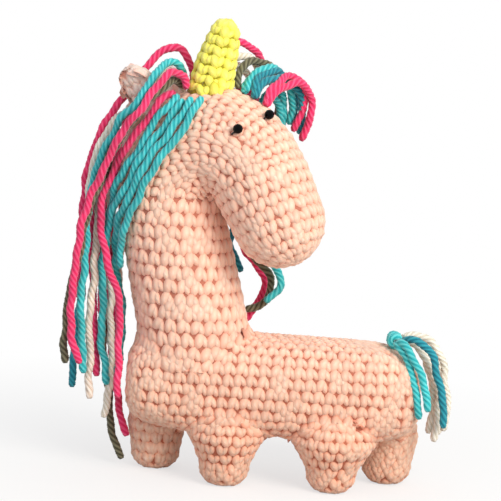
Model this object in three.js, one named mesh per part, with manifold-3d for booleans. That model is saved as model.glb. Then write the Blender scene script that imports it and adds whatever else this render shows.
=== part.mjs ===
// Crochet unicorn: a stuffed toy with a long upright neck, a head that looks back over
// its body, four stub legs, a small horn, two ears, bead eyes and a mane and tail of yarn.
// Millimetres. +Z is up, the neck stands at the -X end, the tail hangs at the +X end,
// and the toy's own left side is -Y.

import * as THREE from "three";
import { mergeVertices } from "three/addons/utils/BufferGeometryUtils.js";
import Module from "manifold-3d";

const wasm = await Module();
wasm.setup();

// Crochet fabric and clearances
const COVER = 3.2;
const GAP = 0.3;
const SOLE_CUT = 0.5;

// Torso
const TORSO_LENGTH = 132;
const TORSO_WIDTH = 50;
const TORSO_HEIGHT = 45;
const BELLY_HEIGHT = 22;
const TORSO_END_SQUARENESS = 4.6;
const TORSO_SIDE_SQUARENESS = 2.8;
const WAIST_DRAW_IN = 0.03;

// Legs
const LEG_TOP_RADIUS = 13.2;
const SHOULDER_RADIUS = 16.4;
const HAUNCH_RADIUS = 18.4;
const LEG_FOOT_RADIUS = 11;
const FOOT_ROUNDING = 10;
const FOOT_SQUARENESS = 2.6;
const LEG_ROOT = 16;
const LEG_TRACK = 23;
const FRONT_LEG_INSET = 14;
const FRONT_LEG_STEP = 32.5;
const REAR_LEG_INSET = 10.8;
const REAR_LEG_STEP = 26.5;

// Neck
const NECK_BASE_RADIUS = 25;
const NECK_TOP_RADIUS = 23.2;
const NECK_BASE_INSET = 28.5;
const NECK_LEAN = 14;
const NECK_LENGTH = 61;
const NECK_ROOT = 16;

// Head
const HEAD_TURN = 22;
const HEAD_BEND = 150;
const POLL_RISE = 2.4;
const POLL_ANGLE = 78;
const POLL_SPREAD = 62;
const BEND_CREASE = 0.9;
const BROW_RADIUS = 21.2;
const SNOUT_LENGTH = 21;
const MUZZLE_RADIUS = 20;
const HEAD_HALF_WIDTH = 21.4;

// Horn
const HORN_LENGTH = 30;
const HORN_BASE_RADIUS = 8.6;
const HORN_TOP_RADIUS = 6.4;
const HORN_LEAN = 13;
const HORN_ANGLE = 83;
const HORN_SHIFT = -3;
const HORN_SINK = 4;

// Ears
const EAR_LENGTH = 24;
const EAR_WIDTH = 19.5;
const EAR_THICKNESS = 4;
const EAR_CUP = 2.4;
const EAR_ANGLE = 51;
const EAR_SPACING = 21;
const EAR_SPLAY = 24;
const EAR_SWEEP = 28;
const EAR_STEM = 0.34;
const EAR_SEAT = -0.3;

// Eyes
const EYE_DIAMETER = 4.4;
const EYE_HOLE = 1.3;
const EYE_SPACING = 12;
const EYE_ANGLE = 119;
const EYE_SLANT = 6;
const FACE_SHIFT = -12.6;
const EYE_THREAD = 0.7;

// Yarn
const YARN = 3.2;
const TAIL_KNOT = 7.6;
const TAIL_KNOT_WIDTH = 14;
const TAIL_INSET = 12.5;
const TAIL_RISE = 1.7;
const TAIL_SHIFT = -1;

// Mesh fineness
const TORSO_SIDES = 24;
const TORSO_RINGS = 14;
const NECK_SIDES = 22;
const NECK_RINGS = 7;
const HEAD_SIDES = 22;
const HEAD_RINGS = 14;
const LEG_SIDES = 18;
const HORN_SIDES = 16;
const EAR_SIDES = 14;
const EAR_RINGS = 9;
const BEAD_SIDES = 12;
const BEAD_STEPS = 5;
const THREAD_SIDES = 6;
const THREAD_STEPS = 10;
const KNOT_SIDES = 14;
const KNOT_RINGS = 10;
const CORD_SIDES = 8;
const CORD_STEP = 9;
const DOME_STEPS = 4;
const INSIDE_SHARE = 0.7;

const rad = THREE.MathUtils.degToRad;

// Colours
const BODY_PEACH = 0xf2bda4;
const EAR_PEACH = 0xf6cdb8;
const HORN_YELLOW = 0xe9e04e;
const BEAD_BLACK = 0x0b0808;
const FIBRE_WHITE = 0xf3f0ea;
const HOT_PINK = 0xee3a74;
const TURQUOISE = 0x35c6c6;
const TEAL = 0x147a8c;
const OLIVE = 0x5f5c45;
const CREAM = 0xefe3d6;
const WHITE = 0xf5f1e4;

function finish(name, colour, roughness, metalness) {
  return new THREE.MeshStandardMaterial({ name, color: colour, roughness, metalness });
}

const bodyYarn = finish("peach_cotton_crochet", BODY_PEACH, 0.9, 0);
const earYarn = finish("pale_peach_cotton_crochet", EAR_PEACH, 0.9, 0);
const hornYarn = finish("yellow_cotton_crochet", HORN_YELLOW, 0.88, 0);
const blackBead = finish("black_glass_bead", BEAD_BLACK, 0.08, 0);
const blackThread = finish("black_sewing_thread", BEAD_BLACK, 0.8, 0);
const fibre = finish("polyester_fibre", FIBRE_WHITE, 1, 0);
const hotPinkYarn = finish("hot_pink_yarn", HOT_PINK, 0.88, 0);
const turquoiseYarn = finish("turquoise_yarn", TURQUOISE, 0.88, 0);
const tealYarn = finish("teal_yarn", TEAL, 0.88, 0);
const oliveYarn = finish("olive_yarn", OLIVE, 0.9, 0);
const creamYarn = finish("cream_yarn", CREAM, 0.9, 0);
const whiteYarn = finish("white_yarn", WHITE, 0.9, 0);

// Solids

function mergedPositions(geometry) {
  const bare = geometry.clone();
  bare.deleteAttribute("normal");
  bare.deleteAttribute("uv");
  return mergeVertices(bare, 1e-4);
}

function solidFrom(geometry) {
  const merged = mergedPositions(geometry);
  const mesh = new wasm.Mesh({
    numProp: 3,
    vertProperties: new Float32Array(merged.attributes.position.array),
    triVerts: new Uint32Array(merged.index.array),
  });
  return new wasm.Manifold(mesh);
}

// The largest body of a cut solid, without the crumbs that a cut can leave beside it
function mainBody(solid) {
  const bodies = solid.decompose();
  return bodies.reduce((main, body) => (body.volume() > main.volume() ? body : main));
}

function geometryFrom(solid) {
  const mesh = mainBody(solid).getMesh();
  const geometry = new THREE.BufferGeometry();
  geometry.setAttribute("position", new THREE.BufferAttribute(mesh.vertProperties, 3));
  geometry.setIndex(new THREE.BufferAttribute(mesh.triVerts, 1));
  geometry.computeVertexNormals();
  return geometry;
}

// A closed form wrapped on a sphere grid: place(along, around) gives each grid point, with
// along from 0 to 1 between the poles and around as an angle. Each pole is one point.
function wrapped(sides, rings, place) {
  const geometry = new THREE.SphereGeometry(1, sides, rings);
  const points = geometry.attributes.position;
  for (let i = 0; i < points.count; i += 1) {
    const ring = Math.floor(i / (sides + 1));
    const side = (i % (sides + 1)) % sides;
    const point = place(ring / rings, (2 * Math.PI * side) / sides);
    points.setXYZ(i, point.x, point.y, point.z);
  }
  return geometry;
}

function power(value, squareness) {
  return Math.sign(value) * Math.abs(value) ** (2 / squareness);
}

function inside(count) {
  return Math.max(8, 2 * Math.round((count * INSIDE_SHARE) / 2));
}

// Torso: a long rounded box, wider at the chest and the rump than at the waist

const TORSO_Z = BELLY_HEIGHT + TORSO_HEIGHT / 2;

function torsoForm(grow, sides = TORSO_SIDES, rings = TORSO_RINGS) {
  return wrapped(sides, rings, (along, around) => {
    const slope = Math.PI * along;
    const reach = power(Math.cos(slope), TORSO_END_SQUARENESS);
    const share = along % 1 === 0 ? 0 : power(Math.sin(slope), TORSO_END_SQUARENESS);
    const waist = 1 - WAIST_DRAW_IN * (1 - reach * reach);
    const wide = (TORSO_WIDTH / 2) * waist + grow;
    const tall = (TORSO_HEIGHT / 2) * waist + grow;
    return new THREE.Vector3(
      (TORSO_LENGTH / 2 + grow) * reach,
      wide * share * power(Math.cos(around), TORSO_SIDE_SQUARENESS),
      TORSO_Z + tall * share * power(Math.sin(around), TORSO_SIDE_SQUARENESS),
    );
  });
}

// Legs: turned profiles that swell towards the torso, with a sole cut flat

function legProfile(top, grow, foot) {
  const belly = BELLY_HEIGHT;
  const root = belly + LEG_ROOT + grow;
  const points = [new THREE.Vector2(0, foot)];
  for (let i = 0; i <= DOME_STEPS; i += 1) {
    const height = foot + ((FOOT_ROUNDING - foot) * i) / DOME_STEPS;
    const drop = (FOOT_ROUNDING - height) / (FOOT_ROUNDING - foot + SOLE_CUT);
    const share = (1 - drop ** FOOT_SQUARENESS) ** (1 / FOOT_SQUARENESS);
    points.push(new THREE.Vector2((LEG_FOOT_RADIUS + grow) * share, height));
  }
  points.push(new THREE.Vector2(top + grow, belly));
  for (let i = 1; i < DOME_STEPS; i += 1) {
    const turn = (Math.PI / 2) * (i / DOME_STEPS);
    const radius = (top + grow) * Math.cos(turn);
    points.push(new THREE.Vector2(radius, belly + (root - belly) * Math.sin(turn)));
  }
  points.push(new THREE.Vector2(0, root));
  return points;
}

function legForm(place, grow, sides = LEG_SIDES) {
  const profile = legProfile(place.top, grow, Math.max(0, -grow));
  const geometry = new THREE.LatheGeometry(profile, sides);
  geometry.rotateX(Math.PI / 2);
  geometry.translate(place.x, place.y, 0);
  return geometry;
}

const FRONT_X = -TORSO_LENGTH / 2 + FRONT_LEG_INSET;
const REAR_X = TORSO_LENGTH / 2 - REAR_LEG_INSET;
const LEGS = {
  front_left: { x: FRONT_X + FRONT_LEG_STEP, y: -LEG_TRACK / 2, top: SHOULDER_RADIUS },
  front_right: { x: FRONT_X, y: LEG_TRACK / 2, top: LEG_TOP_RADIUS },
  rear_left: { x: REAR_X - REAR_LEG_STEP, y: -LEG_TRACK / 2, top: HAUNCH_RADIUS },
  rear_right: { x: REAR_X, y: LEG_TRACK / 2, top: LEG_TOP_RADIUS },
};

// Neck: a leaning, tapering tube that stands on the chest

const NECK_BASE_X = -TORSO_LENGTH / 2 + NECK_BASE_INSET;
const NECK_BASE_Z = BELLY_HEIGHT + TORSO_HEIGHT;
const CREASE_Z = NECK_BASE_Z + NECK_LENGTH;
const NECK_TOP_X = NECK_BASE_X - NECK_LENGTH * Math.tan(rad(NECK_LEAN));

function neckForm(grow, low, high, sides = NECK_SIDES, rings = NECK_RINGS) {
  return wrapped(sides, rings, (along, around) => {
    const level = Math.min(Math.max((along * rings - 1) / (rings - 2), 0), 1);
    const z = high + (low - high) * level;
    const rise = Math.min(Math.max((z - NECK_BASE_Z) / NECK_LENGTH, -1), 1);
    const x = NECK_BASE_X + (NECK_TOP_X - NECK_BASE_X) * Math.max(rise, 0);
    const taper = Math.max(rise, 0) ** 1.4;
    const radius = NECK_BASE_RADIUS + (NECK_TOP_RADIUS - NECK_BASE_RADIUS) * taper + grow;
    const reach = along % 1 === 0 ? 0 : radius;
    return new THREE.Vector3(x + reach * Math.cos(around), reach * Math.sin(around), z);
  });
}

// Head: the tube of the neck bent over at the poll, ending in a round muzzle. It is drawn
// in its own upright plane, X away from the neck's axis, and turned about that axis.

const CREASE = new THREE.Vector2(NECK_TOP_RADIUS + BEND_CREASE, 0);

function headSection(angle) {
  const share = angle / HEAD_BEND;
  const plain = NECK_TOP_RADIUS + (BROW_RADIUS - NECK_TOP_RADIUS) * share;
  const away = Math.min(Math.abs(angle - POLL_ANGLE) / POLL_SPREAD, 1);
  return plain + POLL_RISE * Math.cos((away * Math.PI) / 2) ** 2;
}

function headRing(angle) {
  const radius = headSection(angle);
  const out = new THREE.Vector2(-Math.cos(rad(angle)), Math.sin(rad(angle)));
  const centre = CREASE.clone().addScaledVector(out, radius + BEND_CREASE);
  const wide = NECK_TOP_RADIUS + (HEAD_HALF_WIDTH - NECK_TOP_RADIUS) * (angle / HEAD_BEND);
  return { centre, out, radius, wide };
}

// along runs from the neck's cut, round the bend, down the snout and over the muzzle
function headPlace(along) {
  const bendShare = 0.6;
  const snoutShare = 0.72;
  const bent = headRing(HEAD_BEND);
  const ahead = new THREE.Vector2(Math.sin(rad(HEAD_BEND)), Math.cos(rad(HEAD_BEND)));
  if (along <= bendShare) return headRing((HEAD_BEND * along) / bendShare);
  const snout = Math.min((along - bendShare) / (snoutShare - bendShare), 1);
  const radius = bent.radius + (MUZZLE_RADIUS - bent.radius) * snout;
  const wide = bent.wide + (MUZZLE_RADIUS - bent.wide) * snout;
  const turn = (Math.PI / 2) * Math.max((along - snoutShare) / (1 - snoutShare), 0);
  const forward = SNOUT_LENGTH * snout + MUZZLE_RADIUS * Math.sin(turn);
  const centre = bent.centre.clone().addScaledVector(ahead, forward);
  const share = Math.cos(turn);
  return { centre, out: bent.out, radius: radius * share, wide: wide * share, turn, ahead };
}

function headForm(grow, start = 0, sides = HEAD_SIDES, rings = HEAD_RINGS) {
  return wrapped(sides, rings, (along, around) => {
    const station = Math.max((along * rings - 1) / (rings - 1), 0);
    const ring = headPlace(station);
    const dome = ring.turn ?? 0;
    const inPlane = ring.radius + grow * Math.cos(dome);
    const across = ring.wide + grow * Math.cos(dome);
    const reach = along === 0 || along === 1 ? 0 : 1;
    const centre = ring.centre.clone();
    if (ring.ahead) centre.addScaledVector(ring.ahead, grow * Math.sin(dome));
    const offset = inPlane * Math.cos(around) * reach;
    const drop = along * rings <= 1 ? start : 0;
    return new THREE.Vector3(
      centre.x + ring.out.x * offset,
      across * Math.sin(around) * reach,
      centre.y + ring.out.y * offset + drop,
    );
  });
}

// A point on the head's skin: angle is measured round the bend from the neck, lift is
// how far the point stands off the skin, and side is its distance from the mid plane
function headPoint(angle, side, lift) {
  const ring = headRing(angle);
  const across = Math.min(Math.abs(side) / ring.wide, 1);
  const offset = ring.radius * Math.sqrt(1 - across * across);
  const centre = ring.centre.clone().addScaledVector(ring.out, offset);
  const normal = new THREE.Vector3(
    (ring.out.x * offset) / ring.radius ** 2,
    side / ring.wide ** 2,
    (ring.out.y * offset) / ring.radius ** 2,
  ).normalize();
  const point = new THREE.Vector3(centre.x, side, centre.y);
  return { point: point.addScaledVector(normal, lift), normal };
}

const headFrame = new THREE.Matrix4()
  .makeTranslation(NECK_TOP_X, 0, CREASE_Z)
  .multiply(new THREE.Matrix4().makeRotationZ(-rad(HEAD_TURN)));

function inHeadFrame(geometry) {
  return geometry.applyMatrix4(headFrame);
}

// Horn: a blunt cone with a round top, sewn on behind the brow

function hornProfile(grow, low) {
  const points = [new THREE.Vector2(0, low), new THREE.Vector2(HORN_BASE_RADIUS + grow, low)];
  const shoulder = HORN_LENGTH - HORN_TOP_RADIUS;
  points.push(new THREE.Vector2(HORN_BASE_RADIUS + grow, HORN_LENGTH / 3));
  for (let i = 0; i < DOME_STEPS; i += 1) {
    const turn = (Math.PI / 2) * (i / DOME_STEPS);
    const height = shoulder + (HORN_TOP_RADIUS + grow) * Math.sin(turn);
    points.push(new THREE.Vector2((HORN_TOP_RADIUS + grow) * Math.cos(turn), height));
  }
  points.push(new THREE.Vector2(0, HORN_LENGTH + grow));
  return points;
}

function hornForm(grow, low) {
  const geometry = new THREE.LatheGeometry(hornProfile(grow, low), HORN_SIDES);
  const seat = headPoint(HORN_ANGLE, HORN_SHIFT, 0);
  geometry.rotateX(Math.PI / 2);
  geometry.rotateY(rad(HORN_LEAN));
  geometry.translate(seat.point.x, seat.point.y, seat.point.z);
  return inHeadFrame(geometry);
}

// Ears: round cupped petals that stand on the back of the head

function earForm() {
  return wrapped(EAR_SIDES, EAR_RINGS, (along, around) => {
    const slope = Math.PI * along;
    const height = (EAR_LENGTH / 2) * (1 - Math.cos(slope));
    const narrow = 1 - EAR_STEM * (1 - height / EAR_LENGTH) ** 2;
    const across = (EAR_WIDTH / 2) * Math.sin(slope) * narrow * Math.cos(around);
    const share = (2 * across) / EAR_WIDTH;
    const thick = (EAR_THICKNESS / 2) * Math.sqrt(Math.abs(Math.sin(slope)));
    const cup = EAR_CUP * share * share * Math.sin(slope);
    return new THREE.Vector3(across, cup - thick * Math.sin(around), height);
  });
}

// side is -1 for the left ear and 1 for the right ear
function earPlaced(side) {
  const seat = headPoint(EAR_ANGLE, (side * EAR_SPACING) / 2, EAR_SEAT);
  const geometry = earForm();
  if (side > 0) geometry.rotateZ(Math.PI);
  geometry.rotateY(-rad(EAR_SWEEP));
  geometry.rotateX(-side * rad(EAR_SPLAY));
  geometry.translate(seat.point.x, seat.point.y, seat.point.z);
  return inHeadFrame(geometry);
}

// Eyes: glass beads held by a stitch of thread through their hole

function beadForm() {
  const points = [];
  const hole = EYE_HOLE / 2;
  const outer = EYE_DIAMETER / 2;
  const end = Math.sqrt(outer * outer - hole * hole);
  points.push(new THREE.Vector2(hole, -end));
  for (let i = 1; i < BEAD_STEPS; i += 1) {
    const turn = Math.asin(end / outer) * ((2 * i) / BEAD_STEPS - 1);
    points.push(new THREE.Vector2(outer * Math.cos(turn), outer * Math.sin(turn)));
  }
  points.push(new THREE.Vector2(hole, end));
  points.push(new THREE.Vector2(hole, -end));
  return new THREE.LatheGeometry(points, BEAD_SIDES);
}

function threadForm() {
  const outer = EYE_DIAMETER / 2;
  const under = -outer + EYE_THREAD / 2;
  const leg = outer + EYE_THREAD;
  const path = new THREE.CatmullRomCurve3([
    new THREE.Vector3(under, -leg * 1.25, 0),
    new THREE.Vector3(under / 2, -leg, 0),
    new THREE.Vector3(0, -outer * 0.7, 0),
    new THREE.Vector3(0, outer * 0.7, 0),
    new THREE.Vector3(under / 2, leg, 0),
    new THREE.Vector3(under, leg * 1.25, 0),
  ]);
  return tube(path, EYE_THREAD, THREAD_SIDES, THREAD_STEPS);
}

// The face looks a little to the toy's left, so both eyes sit left of the head's ridge
function eyeSeat(side) {
  const angle = EYE_ANGLE + (side * EYE_SLANT) / 2;
  const across = FACE_SHIFT + (side * EYE_SPACING) / 2;
  const seat = headPoint(angle, across, EYE_DIAMETER / 2 + GAP);
  const turn = new THREE.Quaternion();
  turn.setFromUnitVectors(new THREE.Vector3(1, 0, 0), seat.normal);
  return { place: seat.point, turn };
}

function eyePlaced(geometry, side) {
  const seat = eyeSeat(side);
  geometry.applyQuaternion(seat.turn);
  geometry.translate(seat.place.x, seat.place.y, seat.place.z);
  return inHeadFrame(geometry);
}

// Yarn

function section(diameter, sides) {
  const outline = [];
  for (let i = 0; i < sides; i += 1) {
    const turn = (2 * Math.PI * i) / sides;
    outline.push(new THREE.Vector2((diameter / 2) * Math.cos(turn), (diameter / 2) * Math.sin(turn)));
  }
  return new THREE.Shape(outline);
}

function tube(path, diameter, sides, steps) {
  return new THREE.ExtrudeGeometry(section(diameter, sides), {
    steps,
    extrudePath: path,
    bevelEnabled: false,
    curveSegments: 1,
  });
}

// A length of yarn along its middle line, from the knot to the cut end
function strandForm(points) {
  const path = new THREE.CatmullRomCurve3(points.map((point) => new THREE.Vector3(...point)));
  const steps = Math.round(path.getLength() / CORD_STEP);
  return tube(path, YARN, CORD_SIDES, steps);
}

function named(name, geometry, material) {
  const mesh = new THREE.Mesh(geometry, material);
  mesh.name = name;
  return mesh;
}

// Mane and tail strands: points along each middle line, picked so that the strand lies on
// the head or the neck, passes over or beside its neighbours and then hangs down

const STRANDS = {
  left_turquoise_1: [turquoiseYarn, [
    [-40, -22, 172.5], [-44, -27, 165], [-48, -28, 157], [-54, -27, 148], [-59, -26, 140],
    [-63, -25, 132], [-66, -23, 124], [-70, -18, 114], [-72, -12, 104], [-72, -8, 94],
  ]],
  left_turquoise_2: [turquoiseYarn, [
    [-44.5, -21.5, 172], [-47, -25, 166], [-52, -27, 158], [-58, -25, 150], [-62, -25, 142],
    [-66, -24, 134], [-70, -20, 125], [-73, -14, 116], [-75, -6, 105], [-74, 1, 92],
    [-72, 4, 80], [-70, 3, 60], [-72, 2, 41],
  ]],
  left_turquoise_3: [turquoiseYarn, [
    [-48, -20, 171], [-50.5, -21.5, 167], [-55, -23, 160], [-60, -23, 152], [-65, -23, 144],
    [-69, -21, 135], [-73, -18, 127], [-77, -12, 117], [-79, -8, 106], [-80, -5, 94],
    [-79, -5, 75], [-78, -5, 57], [-75, -5, 40],
  ]],
  left_turquoise_4: [turquoiseYarn, [
    [-50.5, -16.5, 172.5], [-54, -20, 168], [-58, -21, 163], [-63, -21, 154],
    [-68, -20, 145],
    [-72, -18, 138], [-76, -14, 129], [-78, -8, 119], [-80, -3, 111],
  ]],
  left_pink_1: [hotPinkYarn, [
    [-47, -15, 175.5], [-49, -17, 181], [-54, -22, 182.5], [-58, -26, 178],
    [-62, -27.5, 171], [-67, -29, 164], [-73, -28.5, 156],
    [-77, -26, 146], [-81, -24, 137], [-85, -22, 128], [-88, -21, 117], [-90, -21, 103],
    [-91, -21, 85], [-91, -21, 67], [-89, -21, 59], [-86, -21, 52],
  ]],
  left_pink_2: [hotPinkYarn, [
    [-52.5, -12, 173.5], [-56, -16, 171.5], [-61, -20, 165], [-66, -20, 157],
    [-71, -19, 149],
    [-75, -16, 141], [-79, -15, 132], [-81, -14, 122], [-81, -14, 111], [-78, -14, 100],
    [-74, -14, 89], [-71, -14, 79], [-70, -13, 66], [-70, -13, 52], [-69, -13, 36],
  ]],
  left_pink_3: [hotPinkYarn, [
    [-45, 1.5, 177], [-46, 3, 183], [-48, 3, 189], [-52, 2.5, 193], [-58, 1.5, 192],
    [-64, 0, 186],
    [-69, 0, 179], [-74, -2, 171], [-80, -4, 162], [-84, -7, 154], [-87, -8, 145],
    [-89, -8, 134], [-90, -7, 123], [-90, -6, 100], [-90, -6, 79],
  ]],
  left_pink_4: [hotPinkYarn, [
    [-55, 9, 167.5], [-59, 11, 171.5], [-65, 9, 170.5], [-70, 6, 165], [-75, 3, 160],
    [-81, 1, 153],
    [-84, 0, 144], [-86, 0, 134], [-86, -1, 120], [-86, -2, 105], [-84, -2, 85],
    [-82, -2, 60], [-80, -2, 43],
  ]],
  left_pink_5: [hotPinkYarn, [
    [-61.5, 12.7, 157.8], [-66.5, 13.5, 157.5], [-72, 9.5, 152], [-76, 7, 143],
    [-79, 6, 132], [-79, 6, 118],
    [-79, 5, 104], [-77, 6, 86], [-75, 7, 69], [-74, 8, 51], [-71, 8, 34],
    [-69, 5, 25], [-65, 3, 15],
  ]],
  left_olive_1: [oliveYarn, [
    [-48.5, -10, 176], [-52, -15, 179], [-57, -20, 176], [-61, -23, 172], [-65, -24, 167],
    [-70, -25, 159], [-75, -23, 151],
    [-79, -21, 143], [-82, -19, 133], [-86, -18, 122], [-88, -17, 111], [-90, -17, 99],
    [-93, -17, 80], [-94, -17, 65], [-93, -17, 51],
  ]],
  left_turquoise_5: [turquoiseYarn, [
    [-48, -4, 176], [-49, -4, 181], [-52, -7, 185.5], [-57, -13, 185.5], [-61, -20, 180.5],
    [-64, -24, 175], [-68, -25, 168],
    [-74, -23, 161], [-78, -22, 153], [-82, -20, 144], [-85, -16, 133], [-87, -14, 122],
    [-87, -12, 105], [-88, -12, 85], [-87, -12, 62], [-85, -12, 46],
  ]],
  left_white_1: [whiteYarn, [
    [-49.5, 6, 173], [-51, 8, 178.5], [-56, 9, 182], [-62, 8, 179], [-68, 5, 171],
    [-73, 0, 165],
    [-78, -7, 159], [-81, -12, 154], [-84, -14, 147], [-86, -13, 139], [-87, -11, 129],
    [-87, -10, 119],
  ]],
  left_cream_1: [creamYarn, [
    [-59.5, 5, 166.5], [-63, 6.5, 168], [-67, 4.5, 163.5], [-71, -1, 158], [-76, -7, 152],
    [-80, -10, 145],
    [-82, -10, 135], [-83, -9, 123], [-83, -9, 109], [-83, -9, 96], [-84, -9, 75],
    [-83, -9, 50], [-82, -9, 34],
  ]],
  left_white_2: [whiteYarn, [
    [-60.5, 12, 162], [-64.5, 12, 162.5], [-68.5, 7, 158.5], [-73, 3, 149], [-76, 2, 139],
    [-78, 1, 127],
    [-79, 1, 114], [-79, 0, 101], [-76, -2, 85], [-75, -1, 67], [-74, -1, 51],
    [-74, -1, 36], [-76, -1, 24],
  ]],
  left_teal_1: [tealYarn, [
    [-59.5, 9.5, 165], [-63, 12, 168], [-69, 13, 166], [-75, 11, 161], [-80, 8, 154],
    [-84, 6, 145],
    [-87, 5, 134], [-88, 4, 123], [-89, 4, 109], [-89, 3, 95], [-90, 1, 70],
    [-91, -1, 48], [-91, -1, 37],
  ]],
  right_olive_1: [oliveYarn, [
    [-57, 15.2, 158.2], [-62, 19, 160], [-67.5, 18, 159.5], [-72, 15.5, 155],
    [-77, 13, 147], [-81, 11, 139], [-83, 11, 127],
    [-83, 10, 113], [-82, 10, 97], [-80, 10, 79], [-79, 11, 60], [-77, 11, 43],
    [-74, 10, 26], [-72, 9, 13], [-67, 8, 3],
  ]],
  right_pink_1: [hotPinkYarn, [
    [-54.5, 18.7, 154.2], [-61, 22.5, 157.5], [-67, 22.5, 158.5], [-73, 20.5, 153],
    [-79, 17, 144], [-82, 16, 131],
    [-83, 15, 117], [-83, 15, 101], [-82, 15, 85], [-81, 15, 68],
  ]],
  right_turquoise_1: [turquoiseYarn, [
    [-50.4, 19.5, 154], [-54, 26, 158], [-60, 27.5, 158.5], [-67, 26, 153.5],
    [-72, 24, 147], [-75, 22, 139], [-78, 21, 126],
    [-79, 20, 112], [-79, 20, 97], [-78, 19, 80], [-77, 18, 61],
  ]],
  right_cream_1: [creamYarn, [
    [-45.3, 17.9, 160.4], [-48, 25, 163], [-54, 30, 161.5], [-61, 31, 156], [-67, 30, 148],
    [-71, 28, 138], [-73, 27, 124],
    [-75, 26, 109], [-75, 25, 93], [-74, 24, 76],
  ]],
  right_white_1: [whiteYarn, [
    [-31.5, 2.3, 174.8], [-31, 3.5, 181], [-29.5, 3, 187], [-25, 4, 191], [-21, 8, 191],
    [-17, 11, 187],
    [-15, 14, 181],
  ]],
  right_pink_3: [hotPinkYarn, [
    [-36, 4, 174.6], [-35, 6.5, 181], [-33, 6.5, 188], [-30, 7, 194], [-26, 8, 197],
    [-21, 10, 196], [-16, 14, 191],
    [-14, 18, 183],
  ]],
  right_olive_2: [oliveYarn, [
    [-25, -9, 177], [-25, -7.5, 182], [-24.5, -5, 186], [-22, -2, 188.5], [-17, 2, 189],
    [-12, 7, 188],
    [-8, 12, 183], [-6, 16, 175], [-6, 20, 164], [-7, 21, 152], [-8, 22, 138],
    [-11, 22, 123], [-13, 20, 110], [-14, 19, 102], [-9, 18, 96], [-4, 18, 90],
    [-4, 18, 83], [-9, 18, 77], [-15, 18, 75],
  ]],
  right_turquoise_2: [turquoiseYarn, [
    [-21, -12, 176], [-20, -10, 181], [-17, -6, 185], [-12, -2, 187], [-7, 3, 185],
    [-2, 8, 179], [0, 12, 171], [-1, 15, 162],
  ]],
  right_teal_1: [tealYarn, [
    [-17, -14, 173.5], [-15.5, -12, 178.5], [-11, -7, 182], [-6, -1, 183], [-1, 4, 180],
    [3, 8, 175], [5, 12, 168], [4, 16, 158],
  ]],
  right_pink_4: [hotPinkYarn, [
    [-12, -15, 170.5], [-9, -12.5, 176], [-4, -7, 179.5], [1, -1, 181], [6, 4, 178],
    [9, 8, 172], [8, 10, 164], [5, 12, 155],
  ]],
  right_pink_5: [hotPinkYarn, [
    [-26, 3, 174], [-23, 8, 176.5], [-17.5, 14, 173.5], [-13.5, 19, 166], [-11, 24, 150],
    [-12, 26, 136], [-14, 26, 122], [-17, 24, 109], [-17, 24, 101], [-12, 24, 96],
    [-7, 24, 90], [-7, 24, 82], [-11, 24, 76], [-14, 24, 69],
  ]],
  right_teal_2: [tealYarn, [
    [-29.2, 6.3, 172.3], [-28, 12, 175], [-24, 18, 171.5], [-21, 23, 165], [-20, 26, 155],
    [-20, 28, 141],
    [-22, 30, 127], [-23, 30, 114], [-24, 30, 104], [-21, 29, 97], [-18, 29, 91],
  ]],
  right_turquoise_3: [turquoiseYarn, [
    [-14.5, -2.5, 170.5], [-12, 1, 174.5], [-8.5, 7, 173.5], [-6, 13, 168], [-4, 16, 157],
    [-2, 18, 144],
    [-2, 18, 132], [-3, 16, 119], [-5, 14, 107], [-5, 12, 100], [-1, 12, 95],
    [0, 12, 88], [-6, 12, 80],
  ]],
  tail_white_1: [whiteYarn, [
    [57.8, 2, 69.6], [62, 2, 71.5], [66, 2, 71], [70, 2, 69], [75, 2, 62], [78, 2, 52],
    [80, 2, 41],
    [79, 2, 28],
  ]],
  tail_white_2: [whiteYarn, [
    [58, -3.5, 69], [63, -5, 68], [68, -7, 62], [72, -8, 54], [75, -8, 43], [74, -8, 25],
  ]],
  tail_white_3: [whiteYarn, [
    [57, 5.5, 69], [61, 8, 69.5], [66.5, 10.5, 68], [72, 12, 64], [76, 12, 56],
    [79, 12, 45], [78, 12, 24],
  ]],
  tail_teal_1: [tealYarn, [
    [56.3, -6.7, 69.6], [60, -10, 71], [64, -12.5, 70], [68, -14, 67], [72, -15, 59],
    [75, -15, 48],
    [77, -15, 33],
  ]],
  tail_turquoise_1: [turquoiseYarn, [
    [54, -9.5, 69.5], [56, -13, 69.5], [60, -17, 65.5], [64, -19, 58], [67, -20, 50],
    [69, -20, 41],
  ]],
};

// The tail's knot lies across the back of the torso's top
function tailKnotForm() {
  const geometry = new THREE.SphereGeometry(TAIL_KNOT / 2, KNOT_SIDES, KNOT_RINGS);
  geometry.scale(1, TAIL_KNOT_WIDTH / TAIL_KNOT, 1);
  geometry.translate(TORSO_LENGTH / 2 - TAIL_INSET, TAIL_SHIFT, NECK_BASE_Z + TAIL_RISE);
  return geometry;
}

// Assembly

function insideForms() {
  const forms = {
    torso: solidFrom(torsoForm(-COVER, inside(TORSO_SIDES), inside(TORSO_RINGS))),
    neck: solidFrom(neckForm(-COVER, NECK_BASE_Z - NECK_ROOT, CREASE_Z + GAP, inside(NECK_SIDES))),
    head: solidFrom(inHeadFrame(headForm(-COVER, -2 * GAP, inside(HEAD_SIDES)))),
  };
  for (const [name, place] of Object.entries(LEGS)) {
    forms[name] = solidFrom(legForm(place, -COVER, inside(LEG_SIDES)));
  }
  return forms;
}

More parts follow.
